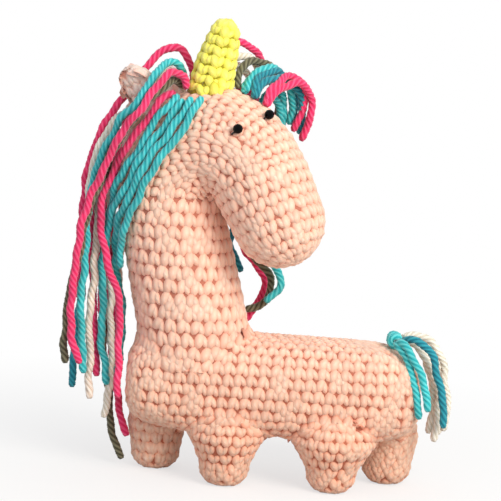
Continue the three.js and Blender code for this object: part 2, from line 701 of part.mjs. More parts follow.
function coverPieces(cavity) {
  const torsoClear = solidFrom(torsoForm(GAP));
  const headClear = solidFrom(inHeadFrame(headForm(GAP)));
  const torso = solidFrom(torsoForm(0));
  const neck = solidFrom(neckForm(0, NECK_BASE_Z - NECK_ROOT, CREASE_Z - GAP));
  const head = solidFrom(inHeadFrame(headForm(0)));
  const covers = {};
  let shell = torso.subtract(cavity.torso).subtract(cavity.neck);
  for (const name of Object.keys(LEGS)) shell = shell.subtract(cavity[name]);
  covers.torso_cover = shell;
  covers.neck_cover = neck.subtract(torsoClear).subtract(headClear).subtract(cavity.neck);
  covers.head_cover = head.subtract(cavity.head);
  for (const [name, place] of Object.entries(LEGS)) {
    const leg = solidFrom(legForm(place, 0));
    covers[`${name}_leg_cover`] = leg.subtract(torsoClear).subtract(cavity[name]);
  }
  return covers;
}

function fillingPieces() {
  const inset = -COVER - GAP;
  const torsoWall = solidFrom(torsoForm(-COVER, inside(TORSO_SIDES), inside(TORSO_RINGS)));
  const neck = neckForm(inset, NECK_BASE_Z - NECK_ROOT, CREASE_Z - GAP, inside(NECK_SIDES));
  const fillings = {
    torso_filling: solidFrom(torsoForm(inset, inside(TORSO_SIDES), inside(TORSO_RINGS))),
    neck_filling: solidFrom(neck).subtract(torsoWall),
    head_filling: solidFrom(inHeadFrame(headForm(inset, 0, inside(HEAD_SIDES)))),
  };
  for (const [name, place] of Object.entries(LEGS)) {
    const leg = solidFrom(legForm(place, inset, inside(LEG_SIDES)));
    fillings[`${name}_leg_filling`] = leg.subtract(torsoWall);
  }
  return fillings;
}

function hornPieces() {
  const headClear = solidFrom(inHeadFrame(headForm(GAP)));
  const outer = solidFrom(hornForm(0, -HORN_SINK));
  const cavity = solidFrom(hornForm(-COVER, -HORN_SINK - GAP));
  const filling = solidFrom(hornForm(-COVER - GAP, -HORN_SINK));
  return {
    horn_cover: outer.subtract(headClear).subtract(cavity),
    horn_filling: filling.subtract(headClear),
  };
}

const unicorn = new THREE.Group();

const cavity = insideForms();
for (const [name, solid] of Object.entries(coverPieces(cavity))) {
  unicorn.add(named(name, geometryFrom(solid), bodyYarn));
}
for (const [name, solid] of Object.entries(fillingPieces())) {
  unicorn.add(named(name, geometryFrom(solid), fibre));
}
const horn = hornPieces();
unicorn.add(named("horn_cover", geometryFrom(horn.horn_cover), hornYarn));
unicorn.add(named("horn_filling", geometryFrom(horn.horn_filling), fibre));
unicorn.add(named("left_ear", earPlaced(-1), earYarn));
unicorn.add(named("right_ear", earPlaced(1), earYarn));
for (const [name, side] of [["left", -1], ["right", 1]]) {
  unicorn.add(named(`${name}_eye_bead`, eyePlaced(beadForm(), side), blackBead));
  unicorn.add(named(`${name}_eye_thread`, eyePlaced(threadForm(), side), blackThread));
}
unicorn.add(named("tail_knot", tailKnotForm(), turquoiseYarn));

// The middle of the toy without its yarn, on the floor, is the origin
const body = new THREE.Box3().setFromObject(unicorn);
unicorn.position.set(-(body.min.x + body.max.x) / 2, -(body.min.y + body.max.y) / 2, -body.min.z);

for (const [name, [material, points]] of Object.entries(STRANDS)) {
  unicorn.add(named(name, strandForm(points), material));
}

export default unicorn;
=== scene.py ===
import math
import random

import bmesh
import bpy
from mathutils import Matrix, Vector
from mathutils.bvhtree import BVHTree
from mathutils.kdtree import KDTree


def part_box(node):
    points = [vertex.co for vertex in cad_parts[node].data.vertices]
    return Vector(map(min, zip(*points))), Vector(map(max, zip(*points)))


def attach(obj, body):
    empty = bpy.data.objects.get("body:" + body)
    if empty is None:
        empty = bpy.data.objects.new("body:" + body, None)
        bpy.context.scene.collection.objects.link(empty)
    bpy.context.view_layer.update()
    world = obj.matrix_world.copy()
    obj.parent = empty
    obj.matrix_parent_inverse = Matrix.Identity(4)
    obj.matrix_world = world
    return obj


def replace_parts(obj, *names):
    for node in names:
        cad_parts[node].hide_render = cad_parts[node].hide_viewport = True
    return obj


# A crochet unicorn: peach cotton stitches over a stuffed body, a yellow crochet horn,
# two petal ears, two glass bead eyes, and a mane and tail of loose plied yarn.

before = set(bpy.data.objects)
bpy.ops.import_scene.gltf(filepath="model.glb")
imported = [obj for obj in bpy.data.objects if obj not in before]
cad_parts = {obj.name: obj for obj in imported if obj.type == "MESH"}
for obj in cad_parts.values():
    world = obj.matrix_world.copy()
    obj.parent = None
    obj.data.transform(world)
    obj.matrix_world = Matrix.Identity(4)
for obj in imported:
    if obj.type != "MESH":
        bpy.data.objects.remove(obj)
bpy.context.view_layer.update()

MM = 0.001
UP = Vector((0, 0, 1))
RIGHT = Vector((1, 0, 0))
VIEWER_SIDE = Vector((0, -1, 0))
random.seed(7)

# The neck and head, as drawn, in millimetres: the crease of the bend lies this far from the
# middle of the neck's top, and the brow this far from the crease
NECK_TOP = (-52.709, 0, 128)
HEAD_TURN = math.radians(-22)
HEAD_BEND = math.radians(150)
CREASE_OUT = 24.1
BROW_OUT = 48.4
SNOUT_LENGTH = 21
MUZZLE_RADIUS = 20

# Widths of the stitches and heights of the rounds, in millimetres
TORSO_STITCH = 5.2
NECK_STITCH = 5.9
HEAD_STITCH = 5.4
HEAD_ROUND = 5.2
LEG_STITCH = 5.1
HORN_STITCH = 6.2
HORN_ROUND = 4.6
EAR_STITCH = 5.2

# Where the rounds begin and end, in millimetres: the point that the torso's outline is cut
# at, the neck's ends, how far short of the tips, and how far above the lowest point
TORSO_CUT = (10, 0, 44)
NECK_FOOT = 51.4
NECK_END = 127.6
HORN_TIP = 2.5
EAR_TIP = 3
FIRST_ROUND_UP = 0.15

# The head's first round, and its last one as a share of the muzzle's quarter turn
FIRST_FAN = math.radians(0.7)
DOME_END = 0.985

# How far the horn's and the ears' own axes lean
HORN_TILT = math.radians(13)
EAR_SWEPT = math.radians(28)
EAR_SPLAY = math.radians(24)

# One loop of yarn in a stitch, as shares of the stitch's width, and of the ball that it is
# cut from: the height of the cut, and the heights between which it is plumper
STITCH_BASE = -0.16
STITCH_TALL = 0.34
LOWER_LOOP = 0.93
STITCH_PLUMP = 1.1
LOOP_FOOT = -0.1
LOOP_WAIST = (0.1, 0.9)

# How stitches fit the cover, as shares of a stitch's width
LEAST_ROW = 0.62
LONGEST = 1.6
SHORTENED = 0.55
SHORTEST = 0.25
BARE_REACH = 0.6
EDGE_SHARE = 0.33
DRAPE_DOWN = -0.6
DRAPE_UP = 0.25

# How alike two directions are, as the cosine of the angle between them
LEVEL = 0.8
RIM_TURN = 0.8
DRAPE_WALL = 0.15
TURNED_AWAY = -0.3
LEAST_SLOPE = 0.05

# How unlike its neighbours a stitch is: its turn, its size and its slips
STITCH_TURN = 0.11
STITCH_VARY = 0.05
SLIP_ACROSS = 0.02
SLIP_UP = 0.03

# How many rounds on the next one may be, the fewest stitches in one round, the fewest points
# of its line, and how many times the ground's long edges are cut
STRIDES = (1, 2, 4)
FEWEST_STITCHES = 3
FEWEST_POINTS = 8
GROUND_CUTS = 2

# How near two points lie that count as one, in millimetres: in a node's mesh, on a cut and
# at the two ends of a line
WELD = 0.001
CUT_CLOSE = 0.0001
LINE_CLOSE = 0.01

# The covers and their seams, in millimetres
SKIN_DEPTH = 0.25
GROUND_EDGE = 3
TOUCH = 1.3
SINGLE = 0.35
NECK_RIM = 52.5
RIM_SINK = 2
SEAM_LIFT = 1.6
SEAM_REACH = 9
SEAM_PROBE = 3
ROUND_STEP = 1.2
LEAST_ROUND = 4
RIDGE_STEP = 2
RIDGE_DEPTH = 0.6
SAME_HEIGHT = 0.05
SOLE_HEIGHT = 0.2

# Yarn, in millimetres: its real thickness, how thick it looks with its fuzz, how far one
# ply goes round it in, the space between its rings and between the points of its path
YARN_LOOK = 3.6
YARN_TWIST = -12
YARN_STEP = 1.1

# The yarn's plies and sides, and its section and rounded end as shares of its radius
YARN_PLIES = 4
YARN_SIDES = 16
GROOVE = 0.84
PLY = 0.19
YARN_END = (0.6, 0.92)

# How uneven the yarn is, the rings at its ends that stay in line, and the lengths of its
# slow waves in millimetres
YARN_UNEVEN = 0.18
SWELL_SHARE = 0.35
WIND_SHARE = 3
ENDS_HELD = 8
SWELL_WAVES = (9, 23)
STRAY_WAVES = (13, 31)
VEER_WAVES = (17, 29)
WIND_WAVES = (19, 41)

# The eye threads and the tail knot: their sizes in millimetres, and their counts
THREAD_WAY = (-0.7, 0, -0.7)
THREAD_THICK = 0.8
THREAD_TWIST = 1.4
THREAD_PLIES = 2
THREAD_SIDES = 8
THREAD_RINGS = 20
KNOT_RADIUS = 2.3
KNOT_WIDTH = 10.6
KNOT_TURNS = 3.5
KNOT_YARN = 3
TURN_STEPS = 16

# The grain of each material, and the heights between which the crochet's colour is darkened and
# made richer as painted shade towards the floor, in millimetres
CLOUD = 30
FUZZ = 0.5
DYE = 14
STAPLE = 2.2
TUFT = 6
GLASS_WAVE = 2
# The width of the thread's bands of painted highlight
THREAD_HIGHLIGHT_BANDS = 0.8
PAINTED_SHADE_FROM = 70
PAINTED_SHADE_TO = 15


def corners(node_name):
    """The lowest and the highest corner of a node."""
    return [Vector(corner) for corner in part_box(node_name)]


def middle_of(node_name):
    """The middle of a node's box."""
    low, high = corners(node_name)
    return (low + high) / 2


# The drawing's own zero is the middle of the torso, on the floor
ZERO = middle_of("torso_cover")
ZERO.z = 0


def placed(x, y, z):
    """A point of the drawing, in millimetres, as a point of the frame."""
    return ZERO + Vector((x, y, z)) * MM


def head_turned(vector):
    """A direction in the head's own upright plane, turned as the head is."""
    return Matrix.Rotation(HEAD_TURN, 3, "Z") @ Vector(vector)


# Camera: a little above the toy, rolled a few degrees, square to its left side, with its
# distances in millimetres
CAMERA_TARGET = (-14.4, 0, 104.8)
CAMERA_DISTANCE = 750
CAMERA_RAISED = math.radians(7)
CAMERA_ROLL = math.radians(4)
CAMERA_NEAREST = 50
VIEW_WIDTH = 225.45
SENSOR = 36


def make_camera():
    """The camera at the photograph's angle."""
    data = bpy.data.cameras.new("camera")
    data.sensor_width = SENSOR
    data.lens = SENSOR * CAMERA_DISTANCE / VIEW_WIDTH
    data.clip_start = CAMERA_NEAREST * MM
    camera = bpy.data.objects.new("camera", data)
    ahead = Vector((0, math.cos(CAMERA_RAISED), -math.sin(CAMERA_RAISED)))
    level = Vector((0, math.sin(CAMERA_RAISED), math.cos(CAMERA_RAISED)))
    right = math.cos(CAMERA_ROLL) * RIGHT + math.sin(CAMERA_ROLL) * level
    above = math.cos(CAMERA_ROLL) * level - math.sin(CAMERA_ROLL) * RIGHT
    turn = Matrix((right, above, -ahead)).transposed().to_4x4()
    place = placed(*CAMERA_TARGET) - ahead * CAMERA_DISTANCE * MM
    camera.matrix_world = Matrix.Translation(place) @ turn
    bpy.context.scene.collection.objects.link(camera)
    bpy.context.scene.camera = camera


make_camera()


# Materials, each kept under its own name, which is the name of its slot too

MATERIALS = {}


def linear(colour):
    """An sRGB hex colour as linear red, green, blue and alpha."""
    parts = [int(colour[i:i + 2], 16) / 255 for i in (0, 2, 4)]
    return [p / 12.92 if p <= 0.04045 else ((p + 0.055) / 1.055) ** 2.4 for p in parts] + [1]


def node(tree, kind, links=(), values=(), stops=(), **settings):
    """One node with its settings, the values of its inputs, the stops of its colour ramp
    and its links."""
    made = tree.nodes.new(kind)
    for key, value in settings.items():
        setattr(made, key, value)
    for target, value in dict(values).items():
        made.inputs[target].default_value = value
    for _ in stops[2:]:
        made.color_ramp.elements.new(0.5)
    for i, (place, colour) in enumerate(stops):
        made.color_ramp.elements[i].position = place
        made.color_ramp.elements[i].color = linear(colour)
    for source, target in links:
        tree.links.new(source, made.inputs[target])
    return made


def new_material(name, values):
    """A material whose Principled shader has these values: its tree and its shader."""
    material = bpy.data.materials.new(name)
    material.use_nodes = True
    MATERIALS[name] = material
    shader = material.node_tree.nodes["Principled BSDF"]
    for target, value in values.items():
        shader.inputs[target].default_value = value
    return material.node_tree, shader


def tinted(tree, colour, amount, strength):
    """The colour made lighter or darker by an amount around a half."""
    ends = {"To Min": 1 - strength, "To Max": 1 + strength}
    level = node(tree, "ShaderNodeMapRange", [(amount, "Value")], ends)
    links = [(colour, "Color"), (level.outputs[0], "Value")]
    return node(tree, "ShaderNodeHueSaturation", links).outputs["Color"]


def shade_painted_low(tree, place, colour):
    """The colour, darker and richer towards the floor: painted shade on the body's low parts."""
    parts = node(tree, "ShaderNodeSeparateXYZ", [(place, "Vector")])
    heights = {"From Min": PAINTED_SHADE_FROM * MM, "From Max": PAINTED_SHADE_TO * MM}
    low = node(tree, "ShaderNodeMapRange", [(parts.outputs["Z"], "Value")], heights)
    links = [(low.outputs[0], "Value")]
    rich = node(tree, "ShaderNodeMapRange", links, {"To Min": 1, "To Max": 1.12})
    dim = node(tree, "ShaderNodeMapRange", links, {"To Min": 1, "To Max": 0.93})
    links = [(colour, "Color"), (rich.outputs[0], "Saturation"), (dim.outputs[0], "Value")]
    return node(tree, "ShaderNodeHueSaturation", links).outputs["Color"]


def loop_relief(tree, lie, place):
    """The relief of faint plies along each loop and of a fine fuzz of fibre."""
    plies = node(
        tree, "ShaderNodeTexWave", [(lie, "Vector")], {"Scale": 1.1, "Distortion": 1.5},
        bands_direction="DIAGONAL",
    )
    fine = {"Scale": 1 / (FUZZ * MM), "Detail": 4}
    fuzz = node(tree, "ShaderNodeTexNoise", [(place, "Vector")], fine)
    links = [(fuzz.outputs["Fac"], 2), (plies.outputs["Fac"], 3)]
    both = node(tree, "ShaderNodeMix", links, {0: 0.45}, data_type="FLOAT")
    depth = {"Strength": 0.35, "Distance": 0.25 * MM}
    return node(tree, "ShaderNodeBump", [(both.outputs[0], "Height")], depth).outputs["Normal"]


def crochet_material(name, stops, tone_share, roughness):
    """Mercerised cotton crochet: matt, soft in the light, darker and redder in its pits as painted
    shade, with a painted highlight on its loop tops, faint plies along each loop and a fine fuzz
    of fibre."""
    tree, shader = new_material(name, {
        "Roughness": roughness,
        "Specular IOR Level": 0.3,
        "Sheen Weight": 0.25,
        "Sheen Roughness": 0.5,
        "Subsurface Weight": 0.2,
        "Subsurface Radius": (1, 0.5, 0.35),
        "Subsurface Scale": 1 * MM,
    })
    lie = node(tree, "ShaderNodeAttribute", attribute_name="lie").outputs["Vector"]
    tone_and_ply_shade = node(tree, "ShaderNodeAttribute", attribute_name="tone_and_ply_shade").outputs["Fac"]
    place = node(tree, "ShaderNodeTexCoord").outputs["Object"]
    parts = node(tree, "ShaderNodeSeparateXYZ", [(lie, "Vector")])
    cloudy = node(tree, "ShaderNodeTexNoise", [(place, "Vector")], {"Scale": 1 / (CLOUD * MM)})
    # The colour by height in the loop: painted shade low in each loop and on the ground between
    # stitches, a painted highlight on the loop tops
    colour = node(tree, "ShaderNodeValToRGB", [(parts.outputs["Z"], "Fac")], stops=stops)
    toned = tinted(tree, colour.outputs["Color"], tone_and_ply_shade, tone_share)
    washed = tinted(tree, toned, cloudy.outputs["Fac"], tone_share)
    # Painted shade: the colour darker and richer towards the floor
    tree.links.new(shade_painted_low(tree, place, washed), shader.inputs["Base Color"])
    tree.links.new(loop_relief(tree, lie, place), shader.inputs["Normal"])


def yarn_material(name, shade, colour, lit):
    """Soft acrylic yarn: matt fibres along each ply, with painted shade in the grooves between
    plies and a painted highlight where the plies stand out."""
    soft = {"Roughness": 0.85, "Specular IOR Level": 0.3, "Sheen Weight": 0.3}
    tree, shader = new_material(name, soft)
    lie = node(tree, "ShaderNodeAttribute", attribute_name="lie").outputs["Vector"]
    ply = node(tree, "ShaderNodeAttribute", attribute_name="tone_and_ply_shade").outputs["Fac"]
    place = node(tree, "ShaderNodeTexCoord").outputs["Object"]
    along = {"Scale": (3.5, 3.5, 1 / (STAPLE * MM))}
    stretched = node(tree, "ShaderNodeMapping", [(lie, "Vector")], along)
    links = [(stretched.outputs["Vector"], "Vector")]
    fibres = node(tree, "ShaderNodeTexNoise", links, {"Scale": 1, "Detail": 3}).outputs["Fac"]
    dyed = node(tree, "ShaderNodeTexNoise", [(place, "Vector")], {"Scale": 1 / (DYE * MM)})
    # The colour by the ply's ridge: painted shade in the grooves, a painted highlight on the
    # crowns
    stops = [(0, shade), (0.45, colour), (1, lit)]
    coloured = node(tree, "ShaderNodeValToRGB", [(ply, "Fac")], stops=stops)
    washed = tinted(tree, coloured.outputs["Color"], dyed.outputs["Fac"], 0.35)
    tree.links.new(tinted(tree, washed, fibres, 0.4), shader.inputs["Base Color"])
    depth = {"Strength": 0.6, "Distance": 0.3 * MM}
    bump = node(tree, "ShaderNodeBump", [(fibres, "Height")], depth)
    tree.links.new(bump.outputs["Normal"], shader.inputs["Normal"])


def fibre_material():
    """Polyester fibre filling: white, matt, in soft tufts, greyer in the hollows between them as
    painted shade along with the fibre's own uneven tone.
    """
    tree, shader = new_material("polyester_fibre", {"Roughness": 1})
    place = node(tree, "ShaderNodeTexCoord").outputs["Object"]
    grain = {"Scale": 1 / (TUFT * MM), "Detail": 6}
    tufts = node(tree, "ShaderNodeTexNoise", [(place, "Vector")], grain).outputs["Fac"]
    # The same noise sets the tufts' height and their colour, so the hollows are greyer: painted
    # shade with the fibre's own uneven tone
    stops = [(0.3, "dcd8d0"), (0.7, "f6f4ef")]
    colour = node(tree, "ShaderNodeValToRGB", [(tufts, "Fac")], stops=stops)
    bump = node(tree, "ShaderNodeBump", [(tufts, "Height")], {"Distance": 1 * MM})
    tree.links.new(colour.outputs["Color"], shader.inputs["Base Color"])
    tree.links.new(bump.outputs["Normal"], shader.inputs["Normal"])


def glass_bead_material():
    """Black glass bead: deep black with a hard small highlight and a faint waviness."""
    polish = {"Roughness": 0.08, "IOR": 1.35, "Specular IOR Level": 0.15}
    tree, shader = new_material("black_glass_bead", polish)
    place = node(tree, "ShaderNodeTexCoord").outputs["Object"]
    grain = {"Scale": 1 / (GLASS_WAVE * MM)}
    waves = node(tree, "ShaderNodeTexNoise", [(place, "Vector")], grain).outputs["Fac"]
    stops = [(0.3, "020202"), (0.7, "080505")]
    colour = node(tree, "ShaderNodeValToRGB", [(waves, "Fac")], stops=stops)
    depth = {"Strength": 0.1, "Distance": 0.1 * MM}
    bump = node(tree, "ShaderNodeBump", [(waves, "Height")], depth)
    tree.links.new(colour.outputs["Color"], shader.inputs["Base Color"])
    tree.links.new(bump.outputs["Normal"], shader.inputs["Normal"])


def thread_material():
    """Black sewing thread: matt and twisted, with a painted highlight in bands on its ridges."""
    tree, shader = new_material("black_sewing_thread", {"Roughness": 0.7})
    place = node(tree, "ShaderNodeTexCoord").outputs["Object"]
    # Diagonal bands of painted highlight along the twist
    twist = node(
        tree, "ShaderNodeTexWave", [(place, "Vector")], {"Scale": 1 / (THREAD_HIGHLIGHT_BANDS * MM)},
        bands_direction="DIAGONAL",
    )
    stops = [(0, "060505"), (1, "1c1818")]
    colour = node(tree, "ShaderNodeValToRGB", [(twist.outputs["Fac"], "Fac")], stops=stops)
    tree.links.new(colour.outputs["Color"], shader.inputs["Base Color"])


# Each crochet's colours by height in its loops, from the painted shade of the pits up to the
# painted highlight on the loop tops
crochet_material(
    "peach_cotton_crochet",
    [(0.0, "c47c67"), (0.22, "e09e88"), (0.57, "f3b8a0"), (0.85, "fbcdb6"), (1.0, "fedbc8")],
    tone_share=0.07,
    roughness=0.85,
)
crochet_material(
    "pale_peach_cotton_crochet",
    [(0.0, "f6c3b2"), (0.25, "f9cdbd"), (0.6, "fdd7c8"), (0.85, "ffe3d6"), (1.0, "ffeae0")],
    tone_share=0.06,
    roughness=0.85,
)
crochet_material(
    "yellow_cotton_crochet",
    [(0.0, "a89c22"), (0.25, "d4c93a"), (0.6, "f3ea58"), (0.85, "fff873"), (1.0, "fffc8a")],
    tone_share=0.06,
    roughness=0.82,
)
# Each yarn's slot, then its colours: painted shade in the grooves between plies, its own colour,
# and a painted highlight on the ply crowns
YARNS = {
    "turquoise": ("turquoise_yarn", "1ba0a8", "3ac6cc", "6fdcde"),
    "pink": ("hot_pink_yarn", "d8205c", "f2386f", "fb6493"),
    "olive": ("olive_yarn", "3d3928", "66634c", "8b886f"),
    "white": ("white_yarn", "d9d1bd", "f2eddf", "fcf9f1"),
    "cream": ("cream_yarn", "d3bfab", "efe0d1", "f9f0e6"),
    "teal": ("teal_yarn", "116a7c", "1c8ca0", "3aa6b4"),
}
for shades in YARNS.values():
    yarn_material(*shades)
fibre_material()
glass_bead_material()
thread_material()


# Pieces


def new_piece(name, mesh_parts, slot, body):
    """A finished piece from a bmesh, in its slot's material and riding on a body."""
    mesh = bpy.data.meshes.new(name)
    mesh_parts.to_mesh(mesh)
    mesh_parts.free()
    mesh.materials.append(MATERIALS[slot])
    mesh.shade_smooth()
    piece = bpy.data.objects.new(name, mesh)
    bpy.context.scene.collection.objects.link(piece)
    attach(piece, body)
    return piece


